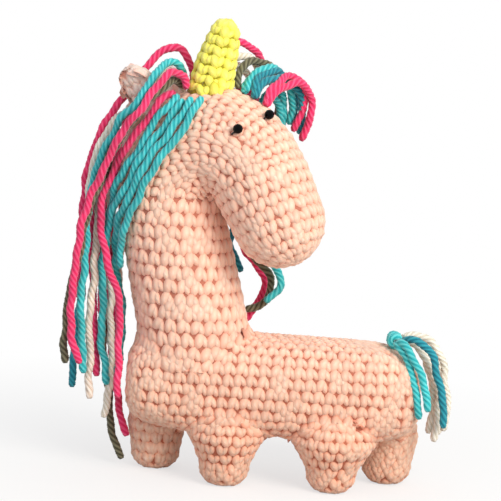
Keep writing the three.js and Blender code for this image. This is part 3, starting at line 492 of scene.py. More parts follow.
# Yarn: each strand's middle line in millimetres of the drawing, from its root to its end
STRANDS = {
    "left_turquoise_1": [
        (-40, -22, 172.5), (-44, -27, 165), (-48, -28, 157), (-54, -27, 148),
        (-59, -26, 140), (-63, -25, 132), (-66, -23, 124), (-70, -18, 114),
        (-72, -12, 104), (-72, -8, 94),
    ],
    "left_turquoise_2": [
        (-44.5, -21.5, 172), (-47, -25, 166), (-52, -27, 158), (-58, -25, 150),
        (-62, -25, 142), (-66, -24, 134), (-70, -20, 125), (-73, -14, 116),
        (-75, -6, 105), (-74, 1, 92), (-72, 4, 80), (-70, 3, 60), (-72, 2, 41),
    ],
    "left_turquoise_3": [
        (-48, -20, 171), (-50.5, -21.5, 167), (-55, -23, 160), (-60, -23, 152),
        (-65, -23, 144), (-69, -21, 135), (-73, -18, 127), (-77, -12, 117),
        (-79, -8, 106), (-80, -5, 94), (-79, -5, 75), (-78, -5, 57), (-75, -5, 40),
    ],
    "left_turquoise_4": [
        (-50.5, -16.5, 172.5), (-54, -20, 168), (-58, -21, 163), (-63, -21, 154),
        (-68, -20, 145), (-72, -18, 138), (-76, -14, 129), (-78, -8, 119),
        (-80, -3, 111),
    ],
    "left_pink_1": [
        (-47, -15, 175.5), (-49, -17, 181), (-54, -22, 182.5), (-58, -26, 178),
        (-62, -27.5, 171), (-67, -29, 164), (-73, -28.5, 156), (-77, -26, 146),
        (-81, -24, 137), (-85, -22, 128), (-88, -21, 117), (-90, -21, 103),
        (-91, -21, 85), (-91, -21, 67), (-89, -21, 59), (-86, -21, 52),
    ],
    "left_pink_2": [
        (-52.5, -12, 173.5), (-56, -16, 171.5), (-61, -20, 165), (-66, -20, 157),
        (-71, -19, 149), (-75, -16, 141), (-79, -15, 132), (-81, -14, 122),
        (-81, -14, 111), (-78, -14, 100), (-74, -14, 89), (-71, -14, 79),
        (-70, -13, 66), (-70, -13, 52), (-69, -13, 36),
    ],
    "left_pink_3": [
        (-45, 1.5, 177), (-46, 3, 183), (-48, 3, 189), (-52, 2.5, 193),
        (-58, 1.5, 192), (-64, 0, 186), (-69, 0, 179), (-74, -2, 171),
        (-80, -4, 162), (-84, -7, 154), (-87, -8, 145), (-89, -8, 134),
        (-90, -7, 123), (-90, -6, 100), (-90, -6, 79),
    ],
    "left_pink_4": [
        (-55, 9, 167.5), (-59, 11, 171.5), (-65, 9, 170.5), (-70, 6, 165),
        (-75, 3, 160), (-81, 1, 153), (-84, 0, 144), (-86, 0, 134),
        (-86, -1, 120), (-86, -2, 105), (-84, -2, 85), (-82, -2, 60), (-80, -2, 43),
    ],
    "left_pink_5": [
        (-61.5, 12.7, 157.8), (-66.5, 13.5, 157.5), (-72, 9.5, 152), (-76, 7, 143),
        (-79, 6, 132), (-79, 6, 118), (-79, 5, 104), (-77, 6, 86), (-75, 7, 69),
        (-74, 8, 51), (-71, 8, 34), (-69, 5, 25), (-65, 3, 15),
    ],
    "left_olive_1": [
        (-48.5, -10, 176), (-52, -15, 179), (-57, -20, 176), (-61, -23, 172),
        (-65, -24, 167), (-70, -25, 159), (-75, -23, 151), (-79, -21, 143),
        (-82, -19, 133), (-86, -18, 122), (-88, -17, 111), (-90, -17, 99),
        (-93, -17, 80), (-94, -17, 65), (-93, -17, 51),
    ],
    "left_turquoise_5": [
        (-48, -4, 176), (-49, -4, 181), (-52, -7, 185.5), (-57, -13, 185.5),
        (-61, -20, 180.5), (-64, -24, 175), (-68, -25, 168), (-74, -23, 161),
        (-78, -22, 153), (-82, -20, 144), (-85, -16, 133), (-87, -14, 122),
        (-87, -12, 105), (-88, -12, 85), (-87, -12, 62), (-85, -12, 46),
    ],
    "left_white_1": [
        (-49.5, 6, 173), (-51, 8, 178.5), (-56, 9, 182), (-62, 8, 179),
        (-68, 5, 171), (-73, 0, 165), (-78, -7, 159), (-81, -12, 154),
        (-84, -14, 147), (-86, -13, 139), (-87, -11, 129), (-87, -10, 119),
    ],
    "left_cream_1": [
        (-59.5, 5, 166.5), (-63, 6.5, 168), (-67, 4.5, 163.5), (-71, -1, 158),
        (-76, -7, 152), (-80, -10, 145), (-82, -10, 135), (-83, -9, 123),
        (-83, -9, 109), (-83, -9, 96), (-84, -9, 75), (-83, -9, 50), (-82, -9, 34),
    ],
    "left_white_2": [
        (-60.5, 12, 162), (-64.5, 12, 162.5), (-68.5, 7, 158.5), (-73, 3, 149),
        (-76, 2, 139), (-78, 1, 127), (-79, 1, 114), (-79, 0, 101), (-76, -2, 85),
        (-75, -1, 67), (-74, -1, 51), (-74, -1, 36), (-76, -1, 24),
    ],
    "left_teal_1": [
        (-59.5, 9.5, 165), (-63, 12, 168), (-69, 13, 166), (-75, 11, 161),
        (-80, 8, 154), (-84, 6, 145), (-87, 5, 134), (-88, 4, 123), (-89, 4, 109),
        (-89, 3, 95), (-90, 1, 70), (-91, -1, 48), (-91, -1, 37),
    ],
    "right_olive_1": [
        (-57, 15.2, 158.2), (-62, 19, 160), (-67.5, 18, 159.5), (-72, 15.5, 155),
        (-77, 13, 147), (-81, 11, 139), (-83, 11, 127), (-83, 10, 113),
        (-82, 10, 97), (-80, 10, 79), (-79, 11, 60), (-77, 11, 43),
        (-74, 10, 26), (-72, 9, 13), (-67, 8, 3),
    ],
    "right_pink_1": [
        (-54.5, 18.7, 154.2), (-61, 22.5, 157.5), (-67, 22.5, 158.5),
        (-73, 20.5, 153), (-79, 17, 144), (-82, 16, 131), (-83, 15, 117),
        (-83, 15, 101), (-82, 15, 85), (-81, 15, 68),
    ],
    "right_turquoise_1": [
        (-50.4, 19.5, 154), (-54, 26, 158), (-60, 27.5, 158.5), (-67, 26, 153.5),
        (-72, 24, 147), (-75, 22, 139), (-78, 21, 126), (-79, 20, 112),
        (-79, 20, 97), (-78, 19, 80), (-77, 18, 61),
    ],
    "right_cream_1": [
        (-45.3, 17.9, 160.4), (-48, 25, 163), (-54, 30, 161.5), (-61, 31, 156),
        (-67, 30, 148), (-71, 28, 138), (-73, 27, 124), (-75, 26, 109),
        (-75, 25, 93), (-74, 24, 76),
    ],
    "right_white_1": [
        (-31.5, 2.3, 174.8), (-31, 3.5, 181), (-29.5, 3, 187), (-25, 4, 191),
        (-21, 8, 191), (-17, 11, 187), (-15, 14, 181),
    ],
    "right_pink_3": [
        (-36, 4, 174.6), (-35, 6.5, 181), (-33, 6.5, 188), (-30, 7, 194),
        (-26, 8, 197), (-21, 10, 196), (-16, 14, 191), (-14, 18, 183),
    ],
    "right_olive_2": [
        (-25, -9, 177), (-25, -7.5, 182), (-24.5, -5, 186), (-22, -2, 188.5),
        (-17, 2, 189), (-12, 7, 188), (-8, 12, 183), (-6, 16, 175), (-6, 20, 164),
        (-7, 21, 152), (-8, 22, 138), (-11, 22, 123), (-13, 20, 110),
        (-14, 19, 102), (-9, 18, 96), (-4, 18, 90), (-4, 18, 83), (-9, 18, 77),
        (-15, 18, 75),
    ],
    "right_turquoise_2": [
        (-21, -12, 176), (-20, -10, 181), (-17, -6, 185), (-12, -2, 187),
        (-7, 3, 185), (-2, 8, 179), (0, 12, 171), (-1, 15, 162),
    ],
    "right_teal_1": [
        (-17, -14, 173.5), (-15.5, -12, 178.5), (-11, -7, 182), (-6, -1, 183),
        (-1, 4, 180), (3, 8, 175), (5, 12, 168), (4, 16, 158),
    ],
    "right_pink_4": [
        (-12, -15, 170.5), (-9, -12.5, 176), (-4, -7, 179.5), (1, -1, 181),
        (6, 4, 178), (9, 8, 172), (8, 10, 164), (5, 12, 155),
    ],
    "right_pink_5": [
        (-26, 3, 174), (-23, 8, 176.5), (-17.5, 14, 173.5), (-13.5, 19, 166),
        (-11, 24, 150), (-12, 26, 136), (-14, 26, 122), (-17, 24, 109),
        (-17, 24, 101), (-12, 24, 96), (-7, 24, 90), (-7, 24, 82),
        (-11, 24, 76), (-14, 24, 69),
    ],
    "right_teal_2": [
        (-29.2, 6.3, 172.3), (-28, 12, 175), (-24, 18, 171.5), (-21, 23, 165),
        (-20, 26, 155), (-20, 28, 141), (-22, 30, 127), (-23, 30, 114),
        (-24, 30, 104), (-21, 29, 97), (-18, 29, 91),
    ],
    "right_turquoise_3": [
        (-14.5, -2.5, 170.5), (-12, 1, 174.5), (-8.5, 7, 173.5), (-6, 13, 168),
        (-4, 16, 157), (-2, 18, 144), (-2, 18, 132), (-3, 16, 119), (-5, 14, 107),
        (-5, 12, 100), (-1, 12, 95), (0, 12, 88), (-6, 12, 80),
    ],
    "tail_white_1": [
        (57.8, 2, 69.6), (62, 2, 71.5), (66, 2, 71), (70, 2, 69), (75, 2, 62),
        (78, 2, 52), (80, 2, 41), (79, 2, 28),
    ],
    "tail_white_2": [
        (58, -3.5, 69), (63, -5, 68), (68, -7, 62), (72, -8, 54), (75, -8, 43),
        (74, -8, 25),
    ],
    "tail_white_3": [
        (57, 5.5, 69), (61, 8, 69.5), (66.5, 10.5, 68), (72, 12, 64),
        (76, 12, 56), (79, 12, 45), (78, 12, 24),
    ],
    "tail_teal_1": [
        (56.3, -6.7, 69.6), (60, -10, 71), (64, -12.5, 70), (68, -14, 67),
        (72, -15, 59), (75, -15, 48), (77, -15, 33),
    ],
    "tail_turquoise_1": [
        (54, -9.5, 69.5), (56, -13, 69.5), (60, -17, 65.5), (64, -19, 58),
        (67, -20, 50), (69, -20, 41),
    ],
}


def span_point(before, start, end, after, share):
    """A point on a centripetal curve between start and end."""
    first = math.sqrt((start - before).length)
    middle = math.sqrt((end - start).length)
    last = math.sqrt((after - end).length)
    leave = (start - before) / first - (end - before) / (first + middle) + (end - start) / middle
    arrive = (end - start) / middle - (after - start) / (middle + last) + (after - end) / last
    leave = leave * middle
    arrive = arrive * middle
    square = -3 * start + 3 * end - 2 * leave - arrive
    cube = 2 * start - 2 * end + leave + arrive
    return start + leave * share + square * share**2 + cube * share**3


def smooth_line(points, per_span=12):
    """A dense smooth line through the points."""
    ends = [points[0] * 2 - points[1]] + points + [points[-1] * 2 - points[-2]]
    line = [points[0].copy()]
    for i in range(1, len(ends) - 2):
        for j in range(1, per_span + 1):
            line.append(span_point(*ends[i - 1:i + 3], j / per_span))
    return line


def line_length(line):
    """The length of a line of points."""
    return sum((b - a).length for a, b in zip(line, line[1:]))


def points_at(line, marks):
    """The points at these distances along a line, which come in rising order."""
    found = []
    walked = 0
    place = 0
    for mark in marks:
        while place < len(line) - 2 and walked + (line[place + 1] - line[place]).length < mark:
            walked += (line[place + 1] - line[place]).length
            place += 1
        step = line[place + 1] - line[place]
        share = min((mark - walked) / step.length, 1)
        found.append(line[place] + step * share)
    return found


def spaced(line, count):
    """That many points at equal spacing along a line, with both its ends."""
    total = line_length(line)
    return points_at(line, [total * i / (count - 1) for i in range(count)])


def carried_frames(line):
    """A turned and placed frame at each point, carried along the line without twist."""
    frames = []
    side = None
    for i, point in enumerate(line):
        ahead = (line[min(i + 1, len(line) - 1)] - line[max(i - 1, 0)]).normalized()
        if side is None:
            side = ahead.orthogonal().normalized()
        side = (side - ahead * side.dot(ahead)).normalized()
        turn = Matrix((side, ahead.cross(side), ahead)).transposed().to_4x4()
        frames.append(Matrix.Translation(point) @ turn)
    return frames


def waver(waves):
    """A slow random wave: a value between about -1 and 1 at each distance along a strand."""
    phases = [random.uniform(0, 2 * math.pi) for _ in waves]

    def value(along):
        parts = [math.sin(2 * math.pi * along / (w * MM) + p) for w, p in zip(waves, phases)]
        return sum(parts) / len(parts)

    return value


def ring_poses(line, diameter, twist, uneven):
    """The place, turn and size of each ring of a strand, which swells, thins and strays a
    little along its way and is rounded at its ends."""
    step = line_length(line) / (len(line) - 1)
    turn = 2 * math.pi * step / twist
    swell, stray, veer, wind = [
        waver(waves) for waves in (SWELL_WAVES, STRAY_WAVES, VEER_WAVES, WIND_WAVES)
    ]
    poses = []
    for i, pose in enumerate(carried_frames(line)):
        along = i * step
        from_end = min(i, len(line) - 1 - i)
        held = min(from_end, ENDS_HELD) / ENDS_HELD
        shift = Vector((stray(along), veer(along), 0)) * uneven * diameter * held
        rounded = YARN_END[from_end] if from_end < len(YARN_END) else 1
        size = Matrix.Scale(rounded * (1 + SWELL_SHARE * uneven * swell(along)), 4)
        twisted = Matrix.Rotation(turn * i + WIND_SHARE * uneven * wind(along), 4, "Z")
        poses.append(pose @ Matrix.Translation(shift) @ twisted @ size)
    return poses


def first_ring(tube, diameter, plies, sides):
    """The lobed circle that a strand starts from, closed by a face: its points."""
    lie = tube.verts.layers.float_vector.new("lie")
    tone_and_ply_shade = tube.verts.layers.float.new("tone_and_ply_shade")
    ring = bmesh.ops.create_circle(tube, segments=sides, radius=1, cap_ends=True)["verts"]
    for vert in ring:
        around = math.atan2(vert.co.y, vert.co.x)
        ridge = 0.5 + 0.5 * math.cos(plies * around)
        vert[lie] = (math.cos(around), math.sin(around), 0)
        # This attribute keeps the ply's ridge, 0 in the grooves and 1 on the crowns, which the
        # yarn's colour reads for its painted shade and painted highlight
        vert[tone_and_ply_shade] = ridge
        vert.co *= diameter / 2 * (GROOVE + PLY * math.sqrt(ridge))
    return ring


def plied_tube(line, diameter, plies, twist, sides=YARN_SIDES, uneven=0.0):
    """A tube of twisted plies along a line, drawn ring by ring from a lobed circle."""
    tube = bmesh.new()
    ring = first_ring(tube, diameter, plies, sides)
    lie = tube.verts.layers.float_vector["lie"]
    step = line_length(line) / (len(line) - 1)
    poses = ring_poses(line, diameter, twist, uneven)
    bmesh.ops.transform(tube, matrix=poses[0], verts=ring)
    edges = list(dict.fromkeys(edge for vert in ring for edge in vert.link_edges))
    for i in range(1, len(poses)):
        made = bmesh.ops.extrude_edge_only(tube, edges=edges)
        verts = [part for part in made["geom"] if isinstance(part, bmesh.types.BMVert)]
        fresh = set(verts)
        edges = [
            part for part in made["geom"]
            if isinstance(part, bmesh.types.BMEdge) and fresh.issuperset(part.verts)
        ]
        bmesh.ops.transform(tube, matrix=poses[i] @ poses[i - 1].inverted(), verts=verts)
        for vert in verts:
            vert[lie] = (vert[lie].x, vert[lie].y, i * step)
    bmesh.ops.contextual_create(tube, geom=edges)
    bmesh.ops.recalc_face_normals(tube, faces=tube.faces[:])
    return tube


# Strands of yarn folded in half, whose second half hangs beside the first: how far off it
# ends, in millimetres
FOLDED = {
    "right_white_1": (-4, 3, -6),
    "right_turquoise_2": (-4, 3, -5),
    "right_teal_1": (-4, 3, 4),
    "right_pink_4": (-4, 1, 4),
    "tail_white_1": (-3.5, 3, -6),
    "tail_white_2": (-2.5, 3, 3),
    "tail_turquoise_1": (-3.5, 2, -4),
}


def second_half(line, end):
    """The line of a folded strand's second half, which parts from the first."""
    count = len(line) - 1
    return [point + Vector(end) * MM * math.sqrt(i / count) for i, point in enumerate(line)]


def rings_along(line):
    """The middles of a strand's rings along a line."""
    return spaced(line, round(line_length(line) / (YARN_STEP * MM)) + 1)


def lay_yarn(name, line, colour, body):
    """One length of yarn along a line, as a piece of its own."""
    tube = plied_tube(
        rings_along(line), YARN_LOOK * MM, YARN_PLIES, YARN_TWIST * MM, uneven=YARN_UNEVEN
    )
    strand = new_piece(name, tube, YARNS[colour][0], body)
    return strand


def make_strand(name, points):
    """One loose strand of yarn in place of its node, with its second half if it is folded."""
    colour = name.split("_")[1]
    body = "tail" if name.startswith("tail") else "toy"
    line = smooth_line([placed(*point) for point in points])
    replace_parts(lay_yarn(name + "_yarn", line, colour, body), name)
    if name in FOLDED:
        lay_yarn(name + "_fold_yarn", second_half(line, FOLDED[name]), colour, body)


for strand_name, strand_points in STRANDS.items():
    make_strand(strand_name, strand_points)


# Crochet stitches


def loop_of_yarn(fabric, centre, half, lean, segments):
    """One plump loop: the upper half of a stretched ball, leaning in the fabric."""
    lie = fabric.verts.layers.float_vector["lie"]
    made = bmesh.ops.create_uvsphere(fabric, u_segments=segments, v_segments=4, radius=1)
    under = [vert for vert in made["verts"] if vert.co.z < LOOP_FOOT]
    bmesh.ops.delete(fabric, geom=under, context="VERTS")
    kept = [vert for vert in made["verts"] if vert.is_valid]
    for vert in kept:
        # lie keeps each point's place in the loop; its height sets the crochet's painted shade low
        # in the loop and painted highlight at the top
        vert[lie] = (vert.co.x, vert.co.y, vert.co.z)
        if LOOP_WAIST[0] < vert.co.z < LOOP_WAIST[1]:
            vert.co.xy *= STITCH_PLUMP
    size = Matrix.Diagonal((half[0], half[1], half[2], 1))
    turn = Matrix.Rotation(math.radians(lean), 4, "Z")
    place = Matrix.Translation((centre[0], centre[1], STITCH_BASE))
    bmesh.ops.transform(fabric, matrix=place @ turn @ size, verts=kept)


def stitch_form(loops):
    """One stitch as a small mesh in units of its own width and height."""
    fabric = bmesh.new()
    fabric.verts.layers.float_vector.new("lie")
    fabric.verts.layers.float.new("tone_and_ply_shade")
    for centre, half, lean, segments in loops:
        loop_of_yarn(fabric, centre, half, lean, segments)
    mesh = bpy.data.meshes.new("stitch")
    fabric.to_mesh(mesh)
    fabric.free()
    return mesh


HOOD_STITCH = stitch_form([
    ((-0.12, 0.03), (0.44, 0.73, STITCH_TALL), -16, 10),
    ((0.28, -0.05), (0.32, 0.62, STITCH_TALL * LOWER_LOOP), 20, 8),
])
HEART_STITCH = stitch_form([
    ((-0.13, 0.0), (0.42, 0.71, STITCH_TALL), 18, 10),
    ((0.28, 0.03), (0.32, 0.62, STITCH_TALL * LOWER_LOOP), -20, 8),
])


# The covers' surfaces, and the lines where planes cut them


def merged_copy(node_name):
    """A copy of a node's mesh with its loose triangles joined."""
    solid = bmesh.new()
    solid.from_mesh(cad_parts[node_name].data)
    bmesh.ops.remove_doubles(solid, verts=solid.verts[:], dist=WELD * MM)
    return solid


LEGS = ["front_left_leg", "front_right_leg", "rear_left_leg", "rear_right_leg"]
STUFFED = ["torso", "neck", "head"] + LEGS
BODY_COVERS = [part + "_cover" for part in STUFFED]
HORN_NODES = ["horn_cover", "horn_filling"]
BODY_NODES = BODY_COVERS + [part + "_filling" for part in STUFFED] + HORN_NODES
SOLIDS = {name: merged_copy(name) for name in BODY_NODES + ["left_ear", "right_ear"]}


def surface_of(names, but=None):
    """The surface of the named nodes together, without one of them."""
    joined = bmesh.new()
    for name in names:
        if name != but:
            joined.from_mesh(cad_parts[name].data)
    tree = BVHTree.FromBMesh(joined)
    joined.free()
    return tree


def walk_loop(edges):
    """One chain of cut edges as a list of points, taken out of the edges."""
    edge = next(iter(edges))
    del edges[edge]
    start, vert = edge.verts
    points = [start.co.copy(), vert.co.copy()]
    while vert is not start:
        following = next((e for e in vert.link_edges if e in edges), None)
        if following is None:
            break
        del edges[following]
        vert = following.other_vert(vert)
        points.append(vert.co.copy())
    return points


def cut_lines(solid, at, facing):
    """The closed lines where a plane cuts a solid. The cut edges are kept in order, as a
    dictionary's keys, so that each run walks the lines the same way."""
    cut = solid.copy()
    parts = cut.verts[:] + cut.edges[:] + cut.faces[:]
    made = bmesh.ops.bisect_plane(
        cut, geom=parts, dist=CUT_CLOSE * MM, plane_co=at, plane_no=facing
    )
    cut_edges = [part for part in made["geom_cut"] if isinstance(part, bmesh.types.BMEdge)]
    edges = dict.fromkeys(cut_edges)
    lines = []
    while edges:
        lines.append(walk_loop(edges))
    cut.free()
    return [line for line in lines if line_length(line) > LEAST_ROUND * MM]


def column_start(line):
    """The distance along a line to the place where its columns start: straight before the
    line's middle, on the viewer's side."""
    middle = sum(line, Vector()) / len(line)
    best = 0
    nearest = math.inf
    walked = 0
    for i, point in enumerate(line):
        if i:
            walked += (point - line[i - 1]).length
        from_middle = point - middle
        if from_middle.dot(VIEWER_SIDE) > 0 and abs(from_middle.dot(RIGHT)) < nearest:
            nearest = abs(from_middle.dot(RIGHT))
            best = walked
    return best


class Cover:
    """One cover's surface, with what lies against it, and the height in millimetres of
    its rim, below which it has no stitches."""

    def __init__(self, node_name, rim=0):
        self.rim = rim * MM
        self.solid = SOLIDS[node_name]
        self.own = BVHTree.FromBMesh(self.solid)
        self.others = surface_of(BODY_NODES, but=node_name)
        self.beside = surface_of(BODY_COVERS, but=node_name)
        self.whole = surface_of(BODY_COVERS + [node_name])

    def normal(self, point, width):
        """The surface's normal round a point, averaged over part of a stitch's width."""
        total = self.own.find_nearest(point)[1].copy()
        reach = width * EDGE_SHARE
        for axis in range(3):
            for way in (-reach, reach):
                offset = Vector((0, 0, 0))
                offset[axis] = way
                total += self.own.find_nearest(point + offset)[1]
        return total.normalized()

    def lift(self, point, normal):
        """How far the fabric is drawn out here, to round a crease beside another cover:
        nothing beside a level seam, all of it where the other cover stands square."""
        beside = self.beside.find_nearest(point, SEAM_REACH * MM)
        if beside[0] is None:
            return 0
        level = math.hypot(beside[3], SEAM_PROBE * MM)
        above = self.beside.find_nearest(point + normal * SEAM_PROBE * MM)[3]
        crease = (level - above) / (level - beside[3])
        near = 1 - beside[3] / (SEAM_REACH * MM)
        return SEAM_LIFT * MM * min(max(crease, 0), 1) * near**2

    def drape(self, point, normal, lifted, width):
        """How far to move a point of a stitch, so that the stitch follows the covers'
        surface round an edge or a hollow."""
        lowest = DRAPE_DOWN * width
        hit, facing = self.whole.ray_cast(point + normal * width, -normal, 2 * width)[:2]
        if hit is None:
            return lowest
        if facing.dot(normal) < DRAPE_WALL:
            return 0
        return min(max((hit - point).dot(normal) + lifted, lowest), DRAPE_UP * width)

    def doubled(self, point, out):
        """Whether another cover lies level with this one and just under it here, so that
        the other's stitches stand for both."""
        under, facing = self.beside.find_nearest(point, TOUCH * MM)[:2]
        if under is None:
            return False
        return facing.dot(out) > LEVEL and (point - under).dot(facing) > SINGLE * MM

    def shows(self, point):
        """Whether the surface is in the open here: above its rim, not doubled, and a
        little way out from it in no other piece."""
        out = self.own.find_nearest(point)[1]
        if point.z < self.rim or self.doubled(point, out):
            return False
        ahead = self.others.ray_cast(point + out * TOUCH * MM, out)
        return ahead[0] is None or ahead[1].dot(out) < 0


def map_of(points):
    """A map to find the nearest of the points."""
    tree = KDTree(max(len(points), 1))
    for i, point in enumerate(points):
        tree.insert(point, i)
    tree.balance()
    return tree


class Round:
    """One round of stitches: the lines where its plane cuts the open side of a cover.
    With reach given, only the lines on that side of the plane's own point."""

    def __init__(self, cover, at, facing, reach=None):
        self.at = at
        self.facing = facing
        self.lines = []
        shown = []
        for line in cut_lines(cover.solid, at, facing):
            middle = sum(line, Vector()) / len(line)
            if reach is not None and (middle - at).dot(reach) < 0:
                continue
            count = round(line_length(line) / (ROUND_STEP * MM))
            dense = spaced(line, max(FEWEST_POINTS, count))
            ahead = (dense[1] - dense[0]).normalized()
            normal = cover.own.find_nearest((dense[0] + dense[1]) / 2)[1]
            if ahead.dot(facing.cross(normal)) < 0:
                dense.reverse()
            open_points = [point for point in dense if cover.shows(point)]
            shown += open_points
            if open_points:
                self.lines.append(dense)
        self.map = map_of(shown)

    def rise_from(self, place, normal, width):
        """The way from a place up to this round, over its nearest open point. Where that
        lies far off, straight up the cover to this round's plane."""
        nearest = self.map.find(place)[0]
        if nearest is not None and (nearest - place).length < LONGEST * width:
            return nearest - place
        climb = (self.facing - normal * self.facing.dot(normal)).normalized()
        slope = max(climb.dot(self.facing), LEAST_SLOPE)
        return climb * min(abs((self.at - place).dot(self.facing)) / slope, width)


class Ridge:
    """The points where the last round is drawn together."""

    def __init__(self, points):
        self.lines = []
        self.map = map_of(points)

    def rise_from(self, place, normal, width):
        """The way from a place to the nearest point of the ridge."""
        return self.map.find(place)[0] - place


# Laying the stitches round by round


def stitch_places(line, width, shift):
    """Equal places along a closed line, from its column start."""
    total = line_length(line)
    count = max(FEWEST_STITCHES, round(total / width))
    start = column_start(line) + shift * width
    return points_at(line, sorted((start + total * i / count) % total for i in range(count)))


def add_stitch(fabric, cover, form, middle, rise, normal, width, height):
    """One stitch set on the cover, a little unlike its neighbours, with each of its points
    moved with the surface under it."""
    lifted = cover.lift(middle, normal)
    place = middle + normal * lifted
    across = rise.cross(normal)
    turn = Matrix((across * width, rise * height, normal * width)).transposed().to_4x4()
    wobble = Matrix.Rotation(random.gauss(0, STITCH_TURN), 4, "Z")
    sizes = [random.gauss(1, STITCH_VARY) for _ in range(3)]
    slip = across * random.gauss(0, SLIP_ACROSS * width) + rise * random.gauss(0, SLIP_UP * width)
    one = form.copy()
    one.transform(Matrix.Translation(place + slip) @ turn @ wobble @ Matrix.Diagonal((*sizes, 1)))
    for vert in one.vertices:
        stands = (vert.co - place).dot(normal)
        vert.co += normal * cover.drape(vert.co - normal * stands, normal, lifted, width)
    values = [random.random()] * len(one.vertices)
    one.attributes["tone_and_ply_shade"].data.foreach_set("value", values)
    fabric.from_mesh(one)
    bpy.data.meshes.remove(one)


def next_round(rounds, i, place, normal, width):
    """The way from a place to the next round that is far enough off for a stitch, and how
    many rounds on that is. Where rounds crowd together, some are left out."""
    for stride in STRIDES:
        following = rounds[min(i + stride, len(rounds) - 1)]
        rise = following.rise_from(place, normal, width)
        if rise.length >= LEAST_ROW * width:
            break
    return rise, stride


def stitch_rise(cover, rounds, i, place, width):
    """The way that the stitch at a place reaches up, or nothing where a stitch of an
    earlier round already reaches past it."""
    normal = cover.own.find_nearest(place)[1]
    rise, stride = next_round(rounds, i, place, normal, width)
    if i % stride == 0:
        return rise
    base = i - i % stride
    below = rounds[base].map.find(place)[0]
    if below is None or next_round(rounds, base, below, normal, width)[1] >= stride:
        return Vector()
    following = rounds[min(base + stride, len(rounds) - 1)]
    return following.rise_from(place, normal, width)


def fit_stitch(cover, place, rise, width):
    """The middle, outward way and height of a stitch that starts at a place, shortened
    where another piece covers its far end. Nothing where it finds no room."""
    facing = cover.own.find_nearest(place)[1]
    for share in (1, SHORTENED):
        height = min(rise.length, LONGEST * width) * share
        if height < SHORTEST * width:
            return None
        middle = cover.own.find_nearest(place + rise.normalized() * height / 2)[0]
        normal = cover.normal(middle, width)
        if cover.shows(middle) and facing.dot(normal) > TURNED_AWAY:
            return middle, normal, height
    return None


def lay_round(fabric, cover, form, rounds, i, width, drift):
    """The stitches of one round, as far as they find room: their middles."""
    middles = []
    for line in rounds[i].lines:
        for place in stitch_places(line, width, drift * i):
            rise = stitch_rise(cover, rounds, i, place, width)
            found = fit_stitch(cover, place, rise, width)
            if found is None:
                continue
            middle, normal, height = found
            rise = (rise - normal * rise.dot(normal)).normalized()
            add_stitch(fabric, cover, form, middle, rise, normal, width, height)
            middles.append(middle)
    return middles


def crochet(node_name, planes, width, form, drift=0.0, ridge=(), rim=0):
    """The fabric of one cover: its rounds of stitches on its smooth ground, none of it below
    the floor. Where a ridge is given, the last round is drawn together along it."""
    cover = Cover(node_name, rim)
    rounds = [Round(cover, *plane) for plane in planes]
    if ridge:
        rounds.append(Ridge(ridge))
    fabric = bmesh.new()
    middles = []
    for i in range(len(rounds) - 1):
        middles += lay_round(fabric, cover, form, rounds, i, width, drift)
    ground = fine_ground(cover.solid)
    fill_bare(fabric, cover, ground, form, middles, planes, width)
    add_ground(fabric, cover, ground)
    for vert in fabric.verts:
        vert.co.z = max(vert.co.z, 0)
    return fabric


def fine_ground(solid):
    """A copy of the cover with its long edges cut."""
    ground = solid.copy()
    for _ in range(GROUND_CUTS):
        long = [edge for edge in ground.edges if edge.calc_length() > GROUND_EDGE * MM]
        bmesh.ops.subdivide_edges(ground, edges=long, cuts=1)
    bmesh.ops.triangulate(ground, faces=ground.faces[:])
    return ground


def facing_at(planes, point):
    """The way across the rounds at a point: that of the nearest plane."""
    here = [plane for plane in planes if len(plane) < 3 or (point - plane[0]).dot(plane[2]) > 0]
    return min(here or planes, key=lambda plane: abs((point - plane[0]).dot(plane[1])))[1]


def fill_bare(fabric, cover, ground, form, middles, planes, width):
    """Stitches wherever the rounds leave the open side of the cover bare."""
    placed_map = map_of(middles)
    reach = BARE_REACH * width
    added = []
    for face in ground.faces:
        point = face.calc_center_median()
        if placed_map.find(point)[2] < reach or not cover.shows(point):
            continue
        if any((point - other).length < reach for other in added):
            continue
        normal = cover.normal(point, width)
        if normal.dot(face.normal) < RIM_TURN:
            continue
        facing = facing_at(planes, point)
        rise = (facing - normal * facing.dot(normal)).normalized()
        add_stitch(fabric, cover, form, point, rise, normal, width, width)
        added.append(point)


def add_ground(fabric, cover, ground):
    """The smooth ground under the stitches: the cover drawn in a little, but not off the
    floor, and drawn in further below the height of its rim."""
    # The ground's lie stays at nothing, so the crochet's colour gives it its darkest stop: painted
    # shade between the stitches
    ground.verts.layers.float_vector.new("lie")
    ground.verts.layers.float.new("tone_and_ply_shade")
    for vert in ground.verts:
        on_floor = vert.co.z < SOLE_HEIGHT * MM
        out = cover.lift(vert.co, vert.normal) - SKIN_DEPTH * MM
        if vert.co.z < cover.rim:
            out = -RIM_SINK * MM
        vert.co += vert.normal * out
        if on_floor:
            vert.co.z = 0
    mesh = bpy.data.meshes.new("ground")
    ground.to_mesh(mesh)
    ground.free()
    fabric.from_mesh(mesh)
    bpy.data.meshes.remove(mesh)


# The planes that cut each cover into its rounds


def level_planes(low, high, step):
    """Level planes from low to high, in millimetres."""
    count = max(2, round((high - low) / step) + 1)
    levels = [low + (high - low) * i / (count - 1) for i in range(count)]
    return [(Vector((0, 0, z * MM)), UP) for z in levels]


